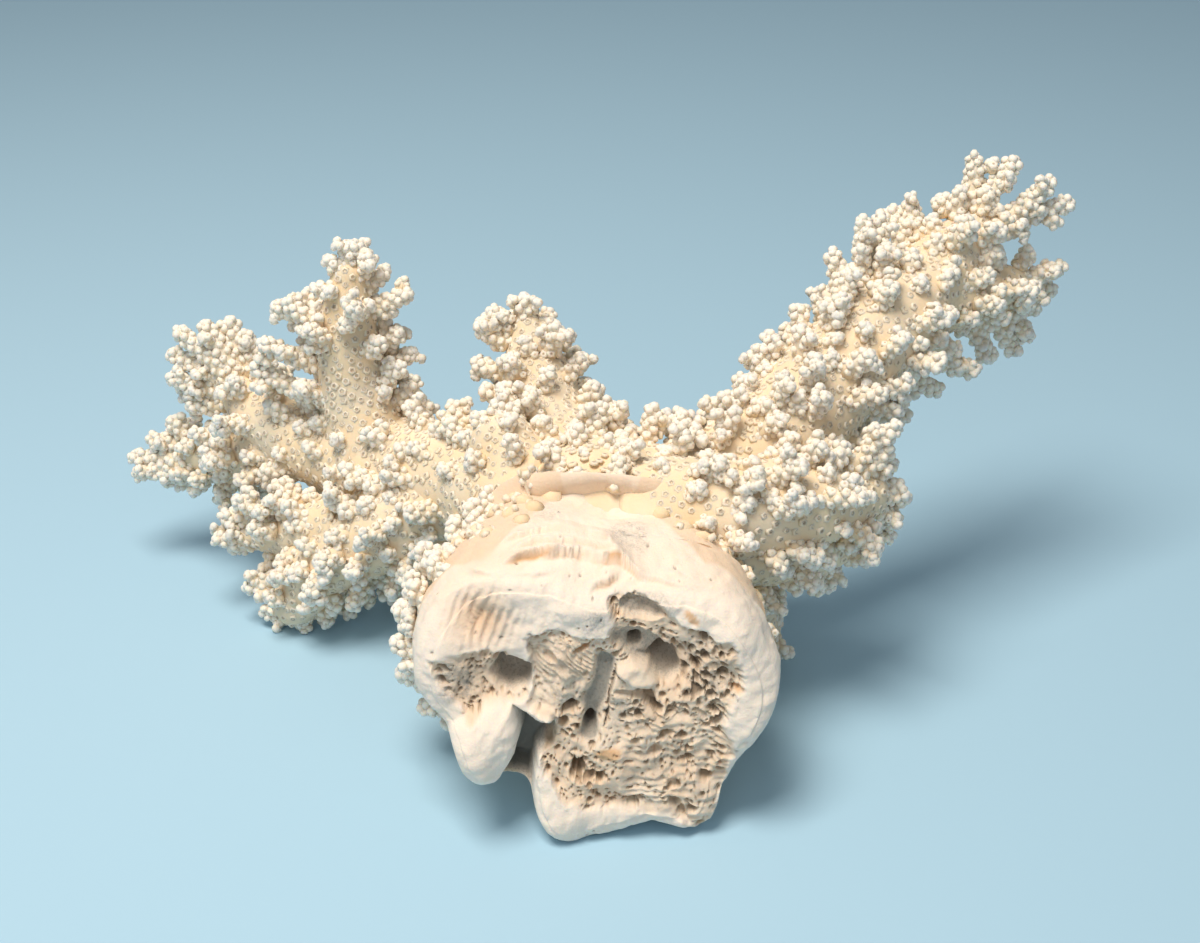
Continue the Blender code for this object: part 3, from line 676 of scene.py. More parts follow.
def lowCups(name, path, curves, rng):
    """shallow cups all over a limb, in one golden spiral"""
    path = withDome(path)
    length = np.concatenate([[0], np.cumsum(np.linalg.norm(np.diff(path[:, :3], axis=0), axis=1))])
    area = np.concatenate([[0], np.cumsum(np.diff(length) * math.pi * (path[1:, 3] + path[:-1, 3]))])
    count = int(area[-1] / cup["limbSpacing"] ** 2)
    i = np.arange(count)
    where = np.interp((i + 0.5) / count * area[-1], area, length)
    turn = i * goldenTurn + rng.uniform(-0.08, 0.08, count)
    centre = np.stack([np.interp(where, length, path[:, k]) for k in range(4)], 1)
    ahead = np.stack([np.interp(where + 2, length, path[:, k]) for k in range(3)], 1)
    behind = np.stack([np.interp(where - 2, length, path[:, k]) for k in range(3)], 1)
    along = unit(ahead - behind)
    first, second = sideAxes(along)
    outWay = np.cos(turn)[:, None] * first + np.sin(turn)[:, None] * second
    plain = centre[:, :3] + outWay * centre[:, 3:4]
    base = plain + outWay * limbSurface(plain, centre[:, 3])[:, None]
    keep = ~insideLimb(base, name, curves, -0.5) & (base[:, 2] > 0.5) & ~insideFoot(base, 0.5)
    keep &= ~onSmoothFoot(base)
    way = unit(outWay + 0.35 * along)
    n = int(keep.sum())
    size = cup["lowRadius"] * rng.uniform(0.85, 1.2, n)
    height = rng.uniform(0.05, 0.45, n)
    # painted shade: the low cups sit down among the branchlets, so they are warm and dark
    shade = 0.25 + rng.uniform(0, 0.2, n)
    return base[keep], way[keep], size, height, shade, rng.uniform(0.6, 0.95, n)


def nearCore(base, root, tip, clear):
    """True where a point lies within clear of the line from a branchlet's root to its tip"""
    hit = np.zeros(len(base), bool)
    for a, b in zip(root, tip):
        line = b - a
        t = np.clip(((base - a) @ line) / (line @ line), 0, 1)
        hit |= np.linalg.norm(base - a - t[:, None] * line, axis=1) < clear
    return hit


# The broken foot

foot = {
    "centre": (0.0, 36.0),      # x and z of the middle of its broken face
    "lean": 0.30,               # how far the face goes back for each step up
    "stem": (-1.0, 43.0, 28.0, 25.0),   # x, z, half-width, half-height where it meets the stem
    "joinY": 62.0,
    "faceGrid": 270,            # points along each side of the face's grid
    "bodySides": 340,
    "bodyRings": 110,
}
# Edge of the broken face as (degrees, radius), seen from the front.
footEdge = [
    (0, 42), (14, 40), (30, 37), (45, 31), (60, 25), (78, 22), (100, 23), (120, 29), (135, 36),
    (150, 41), (165, 44), (180, 43), (193, 37), (210, 36), (222, 31), (233, 28), (245, 34),
    (256, 37), (270, 35), (291, 34), (306, 41), (314, 40), (322, 37), (334, 37), (347, 40),
]
# From the middle of the face over its rim and back to the stem:
# share of the edge's radius, swelling, distance back, and share of the stem's outline.
footProfile = [
    (0.0, 0.0, 0.0, 0.0), (0.8, 0.0, 0.0, 0.0), (0.92, 0.0, 0.9, 0.0), (0.985, 0.3, 2.6, 0.0),
    (1.0, 1.3, 5.0, 0.02), (1.0, 2.4, 9.0, 0.07), (1.0, 3.2, 15.0, 0.2), (1.0, 3.2, 24.0, 0.45),
    (1.0, 2.0, 36.0, 0.75), (1.0, 0.0, 50.0, 1.0),
]
seamAt = 6.2                    # where in that profile the face's piece ends


def edgeRadius(angle):
    """the edge's radius at an angle, by the smooth curve through its points"""
    degrees = np.degrees(angle) % 360
    known = np.array([p[0] for p in footEdge] + [360.0])
    radius = np.array([p[1] for p in footEdge], float)
    count = len(footEdge)
    i = np.clip(np.searchsorted(known, degrees, side="right") - 1, 0, count - 1)
    t = (degrees - known[i]) / (known[i + 1] - known[i])
    return catmull(radius[i - 1], radius[i], radius[(i + 1) % count], radius[(i + 2) % count], t)


def footPlace(angle, along):
    """a point of the foot's plain form: the profile at along, out at the edge's radius,
    blended from the edge's outline to the stem's"""
    share, swell, back, blend = np.moveaxis(curveAt(footProfile, along), -1, 0)
    cx, cz = foot["centre"]
    sx, sz, halfWide, halfHigh = foot["stem"]
    radius = edgeRadius(angle) * share + swell
    x = cx + radius * np.cos(angle)
    z = cz + radius * np.sin(angle)
    y = foot["lean"] * z + back
    x = x + blend * (sx + halfWide * np.cos(angle) - x)
    z = z + blend * (sz + halfHigh * np.sin(angle) - z)
    y = y + blend * (foot["joinY"] - y)
    return np.stack([x, y, z], -1)


def insideFoot(points, margin):
    """True where a point is inside the foot's body by more than the margin"""
    x, y, z = points.T
    backs = [row[2] for row in footProfile[3:]]
    behind = y - foot["lean"] * z
    blend = np.interp(behind, backs, [row[3] for row in footProfile[3:]])
    swell = np.interp(behind, backs, [row[1] for row in footProfile[3:]])
    cx, cz = foot["centre"]
    sx, sz, halfWide, halfHigh = foot["stem"]
    mx = cx + blend * (sx - cx)
    mz = cz + blend * (sz - cz)
    angle = np.arctan2(z - mz, x - mx)
    radius = edgeRadius(angle) + swell
    wide = (1 - blend) * radius + blend * halfWide
    high = (1 - blend) * radius + blend * halfHigh
    limit = np.hypot(wide * np.cos(angle), high * np.sin(angle))
    return (np.hypot(x - mx, z - mz) < limit - margin) & (behind > 3) & (y < foot["joinY"])


# Large hollows (positive depth) and swellings of the face, with soft edges:
# x, z, half-width, half-height, depth.
softForms = [
    (16, 42, 7, 6, 4), (9, 54, 8, 4, 2), (-21, 40, 8, 5, 3),
    (-31, 25, 9, 10, -2), (-11, 6, 7, 6, -3), (37, 30, 6, 9, -2), (24, 20, 10, 8, 1.5),
    (-36, 45, 7, 8, -2), (0, 20, 5.5, 5.5, -2.2), (-29, 53, 7, 6, 3.5), (-1, 54, 9, 5, -1.5),
    (-8, 42, 6, 7, -1.5), (32, 46, 5, 8, -1.5), (33, 20, 5, 6, -1.0),
]
# Hollows with steep walls: x, z, half-width, half-height, turn in degrees, depth.
steepHollows = {
    "arch": (9, 54.5, 6.0, 2.3, -12, 3.4),
    "curvedWall": (9.5, 46.0, 6.8, 3.4, -32, 3.6),
    "deepEnd": (15.4, 41.2, 4.2, 3.4, -35, 5.5),
    "roundHole": (7.9, 46.2, 1.75, 1.7, 0, 7.0),
    "underTooth": (8.3, 35.4, 4.4, 1.0, -5, 2.6),
    "oval": (-20.7, 39.6, 4.9, 3.7, 0, 5.5),
    "troughHole": (-2.6, 27.7, 1.8, 2.2, 0, 4.5),
    "darkHole": (-5.2, 17.8, 1.6, 2.1, 10, 7.0),
    "darkPits": (-7.2, 32.6, 2.3, 1.4, 20, 4.0),
    "fibrePit": (-11.6, 44.4, 1.9, 1.2, -35, 1.8),
    "wedge": (27.6, 28.9, 2.1, 1.2, 35, 4.5),
    "redNook": (32.4, 37.6, 1.5, 0.9, 10, 2.2),
    "smallSlit": (-4.3, 46.8, 2.2, 0.7, 25, 1.6),
    "lowPit": (13.0, 22.0, 2.0, 1.2, 15, 2.4),
    "lowPit2": (17.5, 14.0, 1.6, 1.1, -25, 1.8),
}
raisedLips = {
    "tooth": (8.6, 39.6, 4.6, 2.4, -22, 2.6),
    "whiteLedge": (-12.5, 31.6, 4.0, 1.1, -12, 1.8),
}
# The broken, spongy part of the face and the band on its left, as outlines of x and z.
brokenField = [
    (2, 57), (8, 58.2), (15, 56), (19, 51.5), (25, 50.5), (31, 47.5), (33, 43), (32, 38), (31, 33),
    (28.5, 29), (31, 25), (31, 19), (29.5, 12), (26, 2), (18, 6.5), (9, 8), (0, 8.5), (-8, 10.5),
    (-13.5, 17), (-13, 23), (-10, 29), (-14, 31), (-17, 34), (-15.5, 38), (-16, 43), (-18, 49),
    (-12, 51), (-4, 50), (1, 49), (3, 52),
]
leftBand = [(-40.5, 44), (-36, 46), (-30, 45.5), (-22, 46), (-15.5, 42), (-17, 35), (-22, 34),
            (-26.5, 34), (-30, 31), (-34, 34.5), (-38, 39)]
# The smooth-walled hollow between the bulb on the left and the lobe below.
cave = [(-20.5, 33.4), (-16.4, 31.2), (-14, 29.6), (-10.5, 29.8), (-10.3, 25.5), (-12.3, 23), (-14.6, 20.6),
        (-15.2, 17), (-15.8, 13), (-16.5, 6), (-23.5, 6), (-24.1, 13.5), (-22.7, 18.2), (-20.5, 21.8),
        (-19.4, 25.5), (-19.4, 29.0)]
bulb = [(-35, 30), (-30, 33), (-25, 34.2), (-20.8, 33.4), (-19.6, 29), (-19.6, 25.5), (-20.7, 21.8),
        (-22.9, 18.2), (-24.3, 13.5), (-28, 10), (-35, 14), (-38, 24)]
crack = [(3.4, 41.8), (2.9, 38.5), (2.3, 35.0), (1.9, 32.0), (1.0, 28.0)]
trough = [(1.2, 42.5), (0.2, 38.5), (-0.9, 34.5), (-2.0, 30.5), (-3.0, 26.5)]
# Grey stains as x, z, half-width, half-height and strength; tan spots as turned ovals.
stains = [(-2, 53, 4, 3, 0.5), (12, 55, 6, 3, 0.7), (26, 41, 6, 7, 0.6), (-33, 39, 5, 5, 0.8),
          (-5, 36, 6, 6, 0.5), (10, 18, 6, 4, 0.4), (6, 31, 8, 4, 0.35), (26, 8, 5, 4, 0.4)]
tanSpots = [(-4.3, 46.8, 2.2, 0.7, 25), (32.4, 37.6, 1.5, 0.9, 10), (21.5, 53.5, 2.2, 1.0, -45),
            (2, 22, 3, 1.5, 0)]
# Folds across the top of the foot: x from and to, y at the start, middle and end, drop, shade.
folds = [
    (-24, 4, 33, 38, 35, 1.7, 0.3), (-21, 7, 30, 34, 31.5, 1.4, 0.35), (-14, 11, 28, 30.5, 25, 2.8, 0.5),
    (-23, -10, 25, 28.5, 30, 2.6, 0.95), (-10, 5, 16.5, 20.5, 25, 2.2, 1.0),
    (-0.5, 7, 28, 30.5, 28, 1.4, 1.0), (-32, -11, 25, 22, 24, 1.3, 0.35), (8, 24, 28, 23, 19, 1.1, 0.3),
    (-8, 12, 41, 44, 40, 0.8, 0.15),
]
# Grey stains on the top as x, y, half-width, half-length and strength.
topStains = [(7, 41, 4.5, 8, 0.8), (21, 19, 5, 3, 0.5), (-13, 50, 4, 5, 0.35), (2, 16, 7, 3, 0.35)]


def inOval(x, z, form, ragged):
    """distance from a turned oval's centre as a share of its half-sizes, with a ragged edge"""
    cx, cz, halfWide, halfHigh, turn = form[:5]
    c, s = math.cos(math.radians(turn)), math.sin(math.radians(turn))
    dx, dz = x - cx, z - cz
    return np.hypot((dx * c + dz * s) / halfWide, (dz * c - dx * s) / halfHigh) + ragged


def lineDistance(x, z, line):
    """distance to a line of several points, and the signed side of its nearest stretch"""
    best = np.full(x.shape, 1e9)
    side = np.zeros(x.shape)
    for (ax, az), (bx, bz) in zip(line, line[1:]):
        ux, uz = bx - ax, bz - az
        t = np.clip(((x - ax) * ux + (z - az) * uz) / (ux * ux + uz * uz), 0, 1)
        dx, dz = x - ax - t * ux, z - az - t * uz
        away = np.hypot(dx, dz)
        closer = away < best
        side = np.where(closer, np.sign(ux * dz - uz * dx), side)
        best = np.minimum(best, away)
    return best, side


def outlineDepth(x, z, outline):
    """distance inside (+) or outside (-) a closed outline"""
    ring = outline + outline[:1]
    away, _ = lineDistance(x, z, ring)
    inside = np.zeros(x.shape, bool)
    for (ax, az), (bx, bz) in zip(ring, ring[1:]):
        if az != bz:
            crosses = ((az > z) != (bz > z)) & (x < (bx - ax) * (z - az) / (bz - az) + ax)
            inside ^= crosses
    return np.where(inside, away, -away)


def faceRelief(p):
    """the face's depth at a place, and its marks: white, pore (painted shade in holes and pits), grey
    (stains, and painted shade in the hollows) and tan.
    depth = soft forms + steep hollows - raised lips + sponge cells + grooves"""
    x, z = p[..., 0], p[..., 2]
    flat = np.stack([x, np.zeros_like(x), z], -1)
    ragged = 0.16 * layeredNoise(flat, 3.0, 3, 50)
    depth = np.zeros_like(x)
    for cx, cz, halfWide, halfHigh, deep in softForms:
        depth += deep * np.exp(-((x - cx) / halfWide) ** 2 - ((z - cz) / halfHigh) ** 2)
    broken = smoothstep(-0.5, 0.9, outlineDepth(x, z, brokenField) + 5.5 * ragged)
    band = smoothstep(-0.4, 0.8, outlineDepth(x, z, leftBand) + 4.0 * ragged)
    rough = np.maximum(broken, band)
    hollow = np.zeros_like(x)
    for name, form in steepHollows.items():
        away = inOval(x, z, form, ragged)
        wall = smoothstep(1.12, 0.78, away)
        bowl = 0.7 + 0.3 * np.clip(1 - away ** 2, 0, 1)
        depth += form[5] * wall * bowl
        hollow = np.maximum(hollow, wall * min(1.0, form[5] / 4.0))
    for form in raisedLips.values():
        depth -= form[5] * smoothstep(1.25, 0.6, inOval(x, z, form, ragged))
    warp = np.stack([softNoise(flat, 5.0, 61), np.zeros_like(x), softNoise(flat, 5.0, 62)], -1)
    inCave = smoothstep(-0.3, 1.6, outlineDepth(x, z, cave) + 1.5 * ragged)
    depth += 10.5 * inCave * smoothstep(4, 16, z) ** 0.5
    onBulb = np.clip(outlineDepth(x, z, bulb) / 6.5, 0, 1)
    depth -= 5.5 * np.sqrt(1 - (1 - onBulb) ** 2)
    channel, _ = lineDistance(x + 0.8 * warp[..., 0], z, trough)
    inTrough = smoothstep(3.6, 0.8, channel)
    depth += 2.8 * inTrough
    split, _ = lineDistance(x + 0.5 * warp[..., 2], z, crack)
    inCrack = smoothstep(0.42, 0.1, split + 0.8 * np.abs(ragged))
    depth += 1.4 * inCrack
    honey = smoothstep(1.2, 0.7, inOval(x, z, (24, 40, 7.5, 9, 0), ragged))
    honey = np.maximum(honey, smoothstep(1.2, 0.6, inOval(x, z, (10, 31.5, 8, 2.6, 0), ragged)))
    smoothZone = np.maximum(0.9 * smoothstep(0.3, 0.8, inTrough),
                            smoothstep(1.1, 0.8, inOval(x, z, raisedLips["tooth"], ragged)))
    for name in ("curvedWall", "deepEnd", "oval", "arch"):
        near = inOval(x, z, steepHollows[name], ragged)
        smoothZone = np.maximum(smoothZone, 0.85 * smoothstep(1.15, 0.85, near))
    smoothZone = np.maximum(smoothZone, inCave)
    hollow = np.maximum(hollow, 1.3 * inCave)
    fibre = smoothstep(1.2, 0.7, inOval(x, z, (-9, 42, 8, 8, 0), ragged))
    sponge = rough * (1 - smoothZone)
    layered = smoothstep(34, 27, z) * smoothstep(3, 8, x)
    place = flat + 0.9 * warp
    place[..., 0] *= 1 - 0.25 * layered
    # painted shade in the crack; the pinholes, pits and deep holes below get it too
    poreShade = 0.7 * inCrack
    pits = np.zeros_like(x)
    near, second, share = cells(place, 2.3, 71)
    comb = smoothstep(0.08, 0.3, second - near) * smoothstep(0.0, 0.4, share) * honey * sponge
    depth += 1.8 * comb
    pits = np.maximum(pits, comb)
    bubbles = ((5.2, 2.6, 0.6, 76, 0.34, 0.12), (2.6, 1.7, 0.5, 81, 0.42, 0.14),
               (1.5, 1.2, 0.4, 91, 0.42, 0.18), (0.95, 0.8, 0.35, 101, 0.44, 0.2))
    for size, deep, shut, salt, widest, edge in bubbles:
        near, second, share = cells(place, size, salt)
        reach = widest * (0.5 + 0.5 * share)
        pit = smoothstep(reach, reach - edge, near) * (share > shut) * sponge * (1 - 0.6 * fibre)
        depth += deep * pit
        pits = np.maximum(pits, pit * (0.5 + 0.5 * share))
    crumble = 1 - 2 * np.abs(layeredNoise(place, 3.0, 3, 111))
    depth -= 0.3 * sponge * crumble
    stripes = np.sin(5.4 * (0.8 * x + 0.6 * z + 1.9 * warp[..., 0]))
    depth += 0.3 * fibre * broken * (1 - smoothZone) * stripes
    seams = np.sin(3.6 * (z + 1.3 * warp[..., 2] + 0.06 * x))
    depth += 0.22 * layered * sponge * seams
    depth += 1.6 * rough + 1.0 * rough * layeredNoise(flat, 5.0, 3, 55)
    scoop = np.exp(-((x + 28) / 7) ** 2 - ((z - 53) / 6) ** 2)
    depth += 0.6 * scoop * np.sin(2.9 * (x - 0.35 * (z - 53)) + 2.5 * warp[..., 0])
    chalk = (1 - rough) * (1 - 0.6 * scoop)
    depth += chalk * (0.7 * layeredNoise(flat, 8.0, 3, 57) + 0.28 * layeredNoise(flat, 1.8, 2, 58))
    specks = cells(flat, 1.5, 95)
    pinhole = smoothstep(0.26, 0.12, specks[0]) * (specks[2] > 0.9)
    poreShade = np.maximum(poreShade, 0.5 * pinhole * (1 - smoothZone))
    poreShade = np.maximum(poreShade, 0.55 * smoothstep(0.5, 1.0, pits))
    depth += 0.5 * pinhole
    poreShade = np.maximum(poreShade, 0.95 * smoothstep(0.9, 0.6, inOval(x, z, steepHollows["roundHole"], ragged)))
    for name in ("darkHole", "wedge", "troughHole", "darkPits"):
        poreShade = np.maximum(poreShade, 0.8 * smoothstep(0.95, 0.6, inOval(x, z, steepHollows[name], ragged)))
    # painted shade in the deep oval and the deep end
    dark = np.maximum(smoothstep(1.05, 0.75, inOval(x, z, steepHollows["oval"], ragged)),
                      smoothstep(1.05, 0.75, inOval(x, z, steepHollows["deepEnd"], ragged)))
    poreShade = np.maximum(poreShade, 0.3 * dark)
    # painted shade: grey in the smooth hollows, the trough, the cave and the honeycomb's pits; the stains
    # after it are the face's own grey
    grey = 0.85 * np.maximum(hollow * smoothZone, smoothstep(0.3, 0.8, inTrough))
    grey = np.maximum(grey, np.maximum(inCave, 0.5 * pits * honey))
    blotch = 0.5 + 0.5 * layeredNoise(flat, 3.5, 3, 66)
    for cx, cz, halfWide, halfHigh, deep in stains:
        spot = smoothstep(1.3, 0.5, inOval(x, z, (cx, cz, halfWide, halfHigh, 0), ragged))
        grey = np.maximum(grey, deep * blotch * spot)
    # tan: the sponge's own tone and the scoop's, with tan painted shade in the pits
    tan = 0.65 * scoop + 0.3 * sponge * (0.5 + 0.5 * softNoise(flat, 6.0, 67)) + 0.15 * pits
    for form in tanSpots:
        tan = np.maximum(tan, 0.85 * smoothstep(1.3, 0.7, inOval(x, z, form, ragged)))
    # white: lower on the sponge for its own beige, and lower in its pits for painted shade
    white = 0.92 - 0.35 * rough - 0.25 * pits * sponge
    return depth, np.stack([white, poreShade, grey, np.clip(tan, 0, 1)], -1)


def foldAt(p, fold):
    """a fold that drops towards the viewer along y = a curve of x: how far a place rises behind
    its line, drop * exp(-distance / 4), and how much it lies in the shade of its foot"""
    x, y = p[..., 0], p[..., 1]
    xStart, xEnd, yStart, yMiddle, yEnd, drop, tan = fold
    t = np.clip((x - xStart) / (xEnd - xStart), 0, 1)
    line = yStart * (1 - t) * (1 - 2 * t) + 4 * yMiddle * t * (1 - t) + yEnd * t * (2 * t - 1)
    level = p * np.array([1.0, 1.0, 0.0])
    behind = y - line + 1.1 * softNoise(level, 5.0, 43) + 0.35 * softNoise(level, 1.7, 44)
    shown = smoothstep(xStart - 1, xStart + 4, x) * smoothstep(xEnd + 1, xEnd - 4, x)
    rise = drop * smoothstep(-0.35, 0.45, behind) * np.exp(-np.maximum(behind, 0) / 4)
    shade = tan * np.exp(-((behind + 0.5) / 0.75) ** 2)
    return rise * shown, shade * shown


def bodyRelief(p):
    """how far the body stands out at a place, and its marks: lumps + folds on the top
    + a dome where the stem begins, which sinks into it at the end; tan painted shadow lies at the foot of
      each fold"""
    x, y, z = p[..., 0], p[..., 1], p[..., 2]
    top = smoothstep(48, 56, z)
    rise = 0.6 * layeredNoise(p, 9.0, 3, 41) + 0.22 * layeredNoise(p, 2.2, 2, 42)
    tan = 0.22 * top * (0.5 + 0.5 * softNoise(p, 7.0, 48))
    for fold in folds:
        step, shade = foldAt(p, fold)
        rise += top * step
        # painted shadow: tan at the foot of each fold
        tan = np.maximum(tan, top * shade)
    rise += 4.4 * top * np.exp(-((x - 1) / 12) ** 2 - ((y - 55) / 8) ** 2)
    rise -= 5.0 * smoothstep(59.5, 62.0, y)
    grown = smoothstep(-0.5, 2.5, beyondCrust(p))
    side = smoothstep(20, 30, np.abs(x)) * smoothstep(50, 30, y)
    specks = cells(p, 2.2, 46)
    pinhole = smoothstep(0.24, 0.12, specks[0]) * (specks[2] > 0.9)
    rise -= 0.4 * pinhole
    grain = 0.5 + 0.5 * layeredNoise(p, 1.2, 2, 47)
    grey = np.zeros_like(x)
    for cx, cy, halfWide, halfLong, deep in topStains:
        grey = np.maximum(grey, deep * smoothstep(
            1.5, 0.5, np.hypot((x - cx) / halfWide, (y - cy) / halfLong)) * top * grain)
    white = 0.92 - 0.1 * side - 0.35 * grown
    # painted shade in the pinholes; the grey is the top's real stains
    return rise, np.stack([white, 0.6 * pinhole, grey, np.maximum(tan, 0.3 * grown)], -1)


def beyondCrust(p):
    """how far a place on the foot lies behind the line where its smooth crust ends"""
    x, y, z = p[..., 0], p[..., 1], p[..., 2]
    side = 0.3 * z + 11 + 3.0 * softNoise(p, 7.0, 63)
    over = 61 - 1.9 * np.maximum(0, np.abs(x) - 9)
    return y - np.where(z > 45, np.maximum(over, side), side)


def bodySpots(spacing):
    """places all over the foot's body in one golden spiral, with their outward ways"""
    along = np.linspace(seamAt, len(footProfile) - 1.05, 120)
    angle = np.linspace(0, 2 * math.pi, 73)
    ring = footPlace(angle[None] + np.zeros((120, 1)), along[:, None] + np.zeros((1, 73)))
    around = np.linalg.norm(np.diff(ring, axis=1), axis=2).sum(axis=1)
    step = np.linalg.norm(np.diff(ring, axis=0), axis=2).mean(axis=1)
    area = np.concatenate([[0], np.cumsum(step * 0.5 * (around[1:] + around[:-1]))])
    i = np.arange(int(area[-1] / spacing ** 2))
    at = np.interp((i + 0.5) * spacing ** 2, area, along)
    turn = i * goldenTurn % (2 * math.pi)
    plain = footPlace(turn, at)
    across = footPlace(turn + 0.01, at) - plain
    back = footPlace(turn, at + 0.01) - plain
    out = unit(np.cross(across, back))
    return plain + out * bodyRelief(plain)[0][:, None], out


def footGrowth(rng):
    """low cups and small branchlets on the foot's body, behind its crust and above its underside"""
    base, out = bodySpots(cup["limbSpacing"])
    keep = (beyondCrust(base) > 0) & (base[:, 2] > 9)
    base, out = base[keep], out[keep]
    n = len(base)
    size = cup["lowRadius"] * rng.uniform(0.85, 1.2, n)
    # painted shade: the foot's low cups are warm and dark like those among the branchlets
    low = (base, unit(out + np.array([0, 0.3, 0.1])), size, rng.uniform(0.1, 0.6, n),
           0.3 + rng.uniform(0, 0.25, n), rng.uniform(0.6, 0.95, n))
    spot, way = bodySpots(branchlet["footSpacing"])
    keep = (beyondCrust(spot) > 1.5) & (spot[:, 2] > 14)
    spot, way = spot[keep], way[keep]
    way = unit(way + rng.uniform(-0.3, 0.3, way.shape) + np.array([0, -0.1, 0.35]))
    root = spot - way * 2.0
    tip = spot + way * rng.uniform(*branchlet["footReach"], (len(spot), 1))
    return low, (root, tip, np.full(len(spot), 1.6))


def gridNormals(p, wrap):
    """cross product of the differences along the grid's two directions"""
    if wrap:
        du = 0.5 * (np.roll(p, -1, 1) - np.roll(p, 1, 1))
    else:
        du = np.gradient(p, axis=1)
    return unit(np.cross(du, np.gradient(p, axis=0)))


def footSurface(angle, along, wrap):
    """the foot's plain form with the face's relief pushed in along +y and the body's relief
    standing out along its normals; the face's fades out over the rim"""
    plain = footPlace(angle, along)
    onFace = smoothstep(4.2, 3.0, along)
    depth, faceMarks = faceRelief(plain)
    near = smoothstep(4.0, 2.6, along)
    pushed = plain.copy()
    pushed[..., 1] += depth * near
    normals = gridNormals(plain, wrap)
    rise, bodyMarks = bodyRelief(plain)
    pushed += normals * (rise * (1 - onFace))[..., None]
    marks = faceMarks * onFace[..., None] + bodyMarks * (1 - onFace[..., None])
    return pushed, marks


def makeFace():
    """a square grid stretched over the round face: u = a sqrt(1 - b^2/2), v = b sqrt(1 - a^2/2),
    closed by a pole behind it"""
    n = foot["faceGrid"]
    side = np.linspace(-1, 1, n)
    a, b = np.meshgrid(side, side)
    u, v = a * np.sqrt(1 - b * b / 2), b * np.sqrt(1 - a * a / 2)
    out = np.clip(np.hypot(u, v), 0, 1)
    along = np.interp(out, [0, 0.7, 0.79, 0.85, 0.9, 1.0], [0, 1, 2, 3, 4, seamAt])
    angle = np.arctan2(v, u)
    points, marks = footSurface(angle, along, False)
    index = np.arange(n * n).reshape(n, n)
    quads = np.stack([index[:-1, :-1], index[:-1, 1:], index[1:, 1:], index[1:, :-1]], -1).reshape(-1, 4)
    rim = np.concatenate([index[0, :-1], index[:-1, -1], index[-1, :0:-1], index[:0:-1, 0]])
    pole = np.array([[0.0, 45.0, 40.0]])
    count = len(rim)
    copies = n * n + np.arange(count)
    fans = np.stack([np.roll(copies, -1), copies, np.full(count, n * n + count)], -1)
    flat = points.reshape(-1, 3)
    flatMarks = marks.reshape(-1, 4)
    return {
        "points": np.vstack([flat, flat[rim], pole]),
        "quads": quads,
        "fans": fans,
        "marks": np.vstack([flatMarks, flatMarks[rim], [[0.5, 0, 0, 0]]]),
    }


def makeBody():
    """rings from the rim back to the stem, closed by a pole inside at each end"""
    sides, rings = foot["bodySides"], foot["bodyRings"]
    along = np.linspace(seamAt - 0.06, len(footProfile) - 1.0, rings)[:, None]
    angle = (2 * math.pi * np.arange(sides) / sides)[None]
    points, marks = footSurface(np.broadcast_to(angle, (rings, sides)),
                                np.broadcast_to(along, (rings, sides)), True)
    inner = points[:1] * np.array([0.97, 1.0, 0.97]) + np.array([0, 0.3, 1.0])
    points = np.concatenate([inner, points])
    marks = np.concatenate([marks[:1], marks])
    plain = np.array([[0.5, 0, 0, 0]])
    return ringPart(points[None], np.array([[0.0, 45.0, 40.0]]), np.array([[-1.0, 66.0, 43.0]]),
                    marks[None], plain, plain)


# Materials

coralLook = {
    "hollow": "#EACFA6",        # warm painted glow of light passing through the skeleton, and painted shade, in the hollows
    "knob": "#F8F1E6",          # bleached tips
    # painted shade in the depth of the cups' pores
    "poreShade": "#6E4A2C",
    "roughness": 0.78,
    "grain": 0.0007,            # size of the skin's grain, m
}
footLook = {
    "chalk": "#F4E9DD",
    "sponge": "#DCC6A8",
    # grey of the real stains, also laid as painted shade in the hollows
    "stainAndShadeGrey": "#858580",
    # the foot's own tan, also laid as painted shadow under the folds and painted shade in the pits
    "tan": "#DDB184",
    # painted shade in the foot's holes, pits and pinholes
    "poreShade": "#4A3626",
    "roughness": 0.85,
    "grain": 0.0006,
}


def mixColour(tree, share, first, second):
    """first * (1 - share) + second * share"""
    node = addNode(tree, "ShaderNodeMix", {"data_type": "RGBA"})
    for place, value in ((0, share), (6, first), (7, second)):
        if isinstance(value, bpy.types.NodeSocket):
            tree.links.new(value, node.inputs[place])
        else:
            node.inputs[place].default_value = value
    return node.outputs[2]


def skeletonMaterial(name, look, roughBump):
    """aragonite skeleton, sun-bleached: dull, chalky, a little light passing through its edges"""
    material = bpy.data.materials.new(name)
    material.use_nodes = True
    tree = material.node_tree
    shader = tree.nodes["Principled BSDF"]
    shader.inputs["Roughness"].default_value = look["roughness"]
    shader.inputs["IOR"].default_value = 1.53       # aragonite, its porous skin far duller
    shader.inputs["Specular IOR Level"].default_value = 0.22
    shader.inputs["Subsurface Weight"].default_value = 0.25
    shader.inputs["Subsurface Radius"].default_value = (1.0, 0.62, 0.36)
    shader.inputs["Subsurface Scale"].default_value = 0.0012
    place = addNode(tree, "ShaderNodeTexCoord").outputs["Object"]
    grain = addNode(tree, "ShaderNodeTexNoise", {}, {
        "Vector": place, "Scale": 1.0 / look["grain"], "Detail": 3.0, "Roughness": 0.6})
    bump = addNode(tree, "ShaderNodeBump", {}, {
        "Strength": roughBump, "Distance": 0.0003, "Height": grain.outputs["Fac"]})
    tree.links.new(bump.outputs["Normal"], shader.inputs["Normal"])
    return material, tree, shader, place, grain


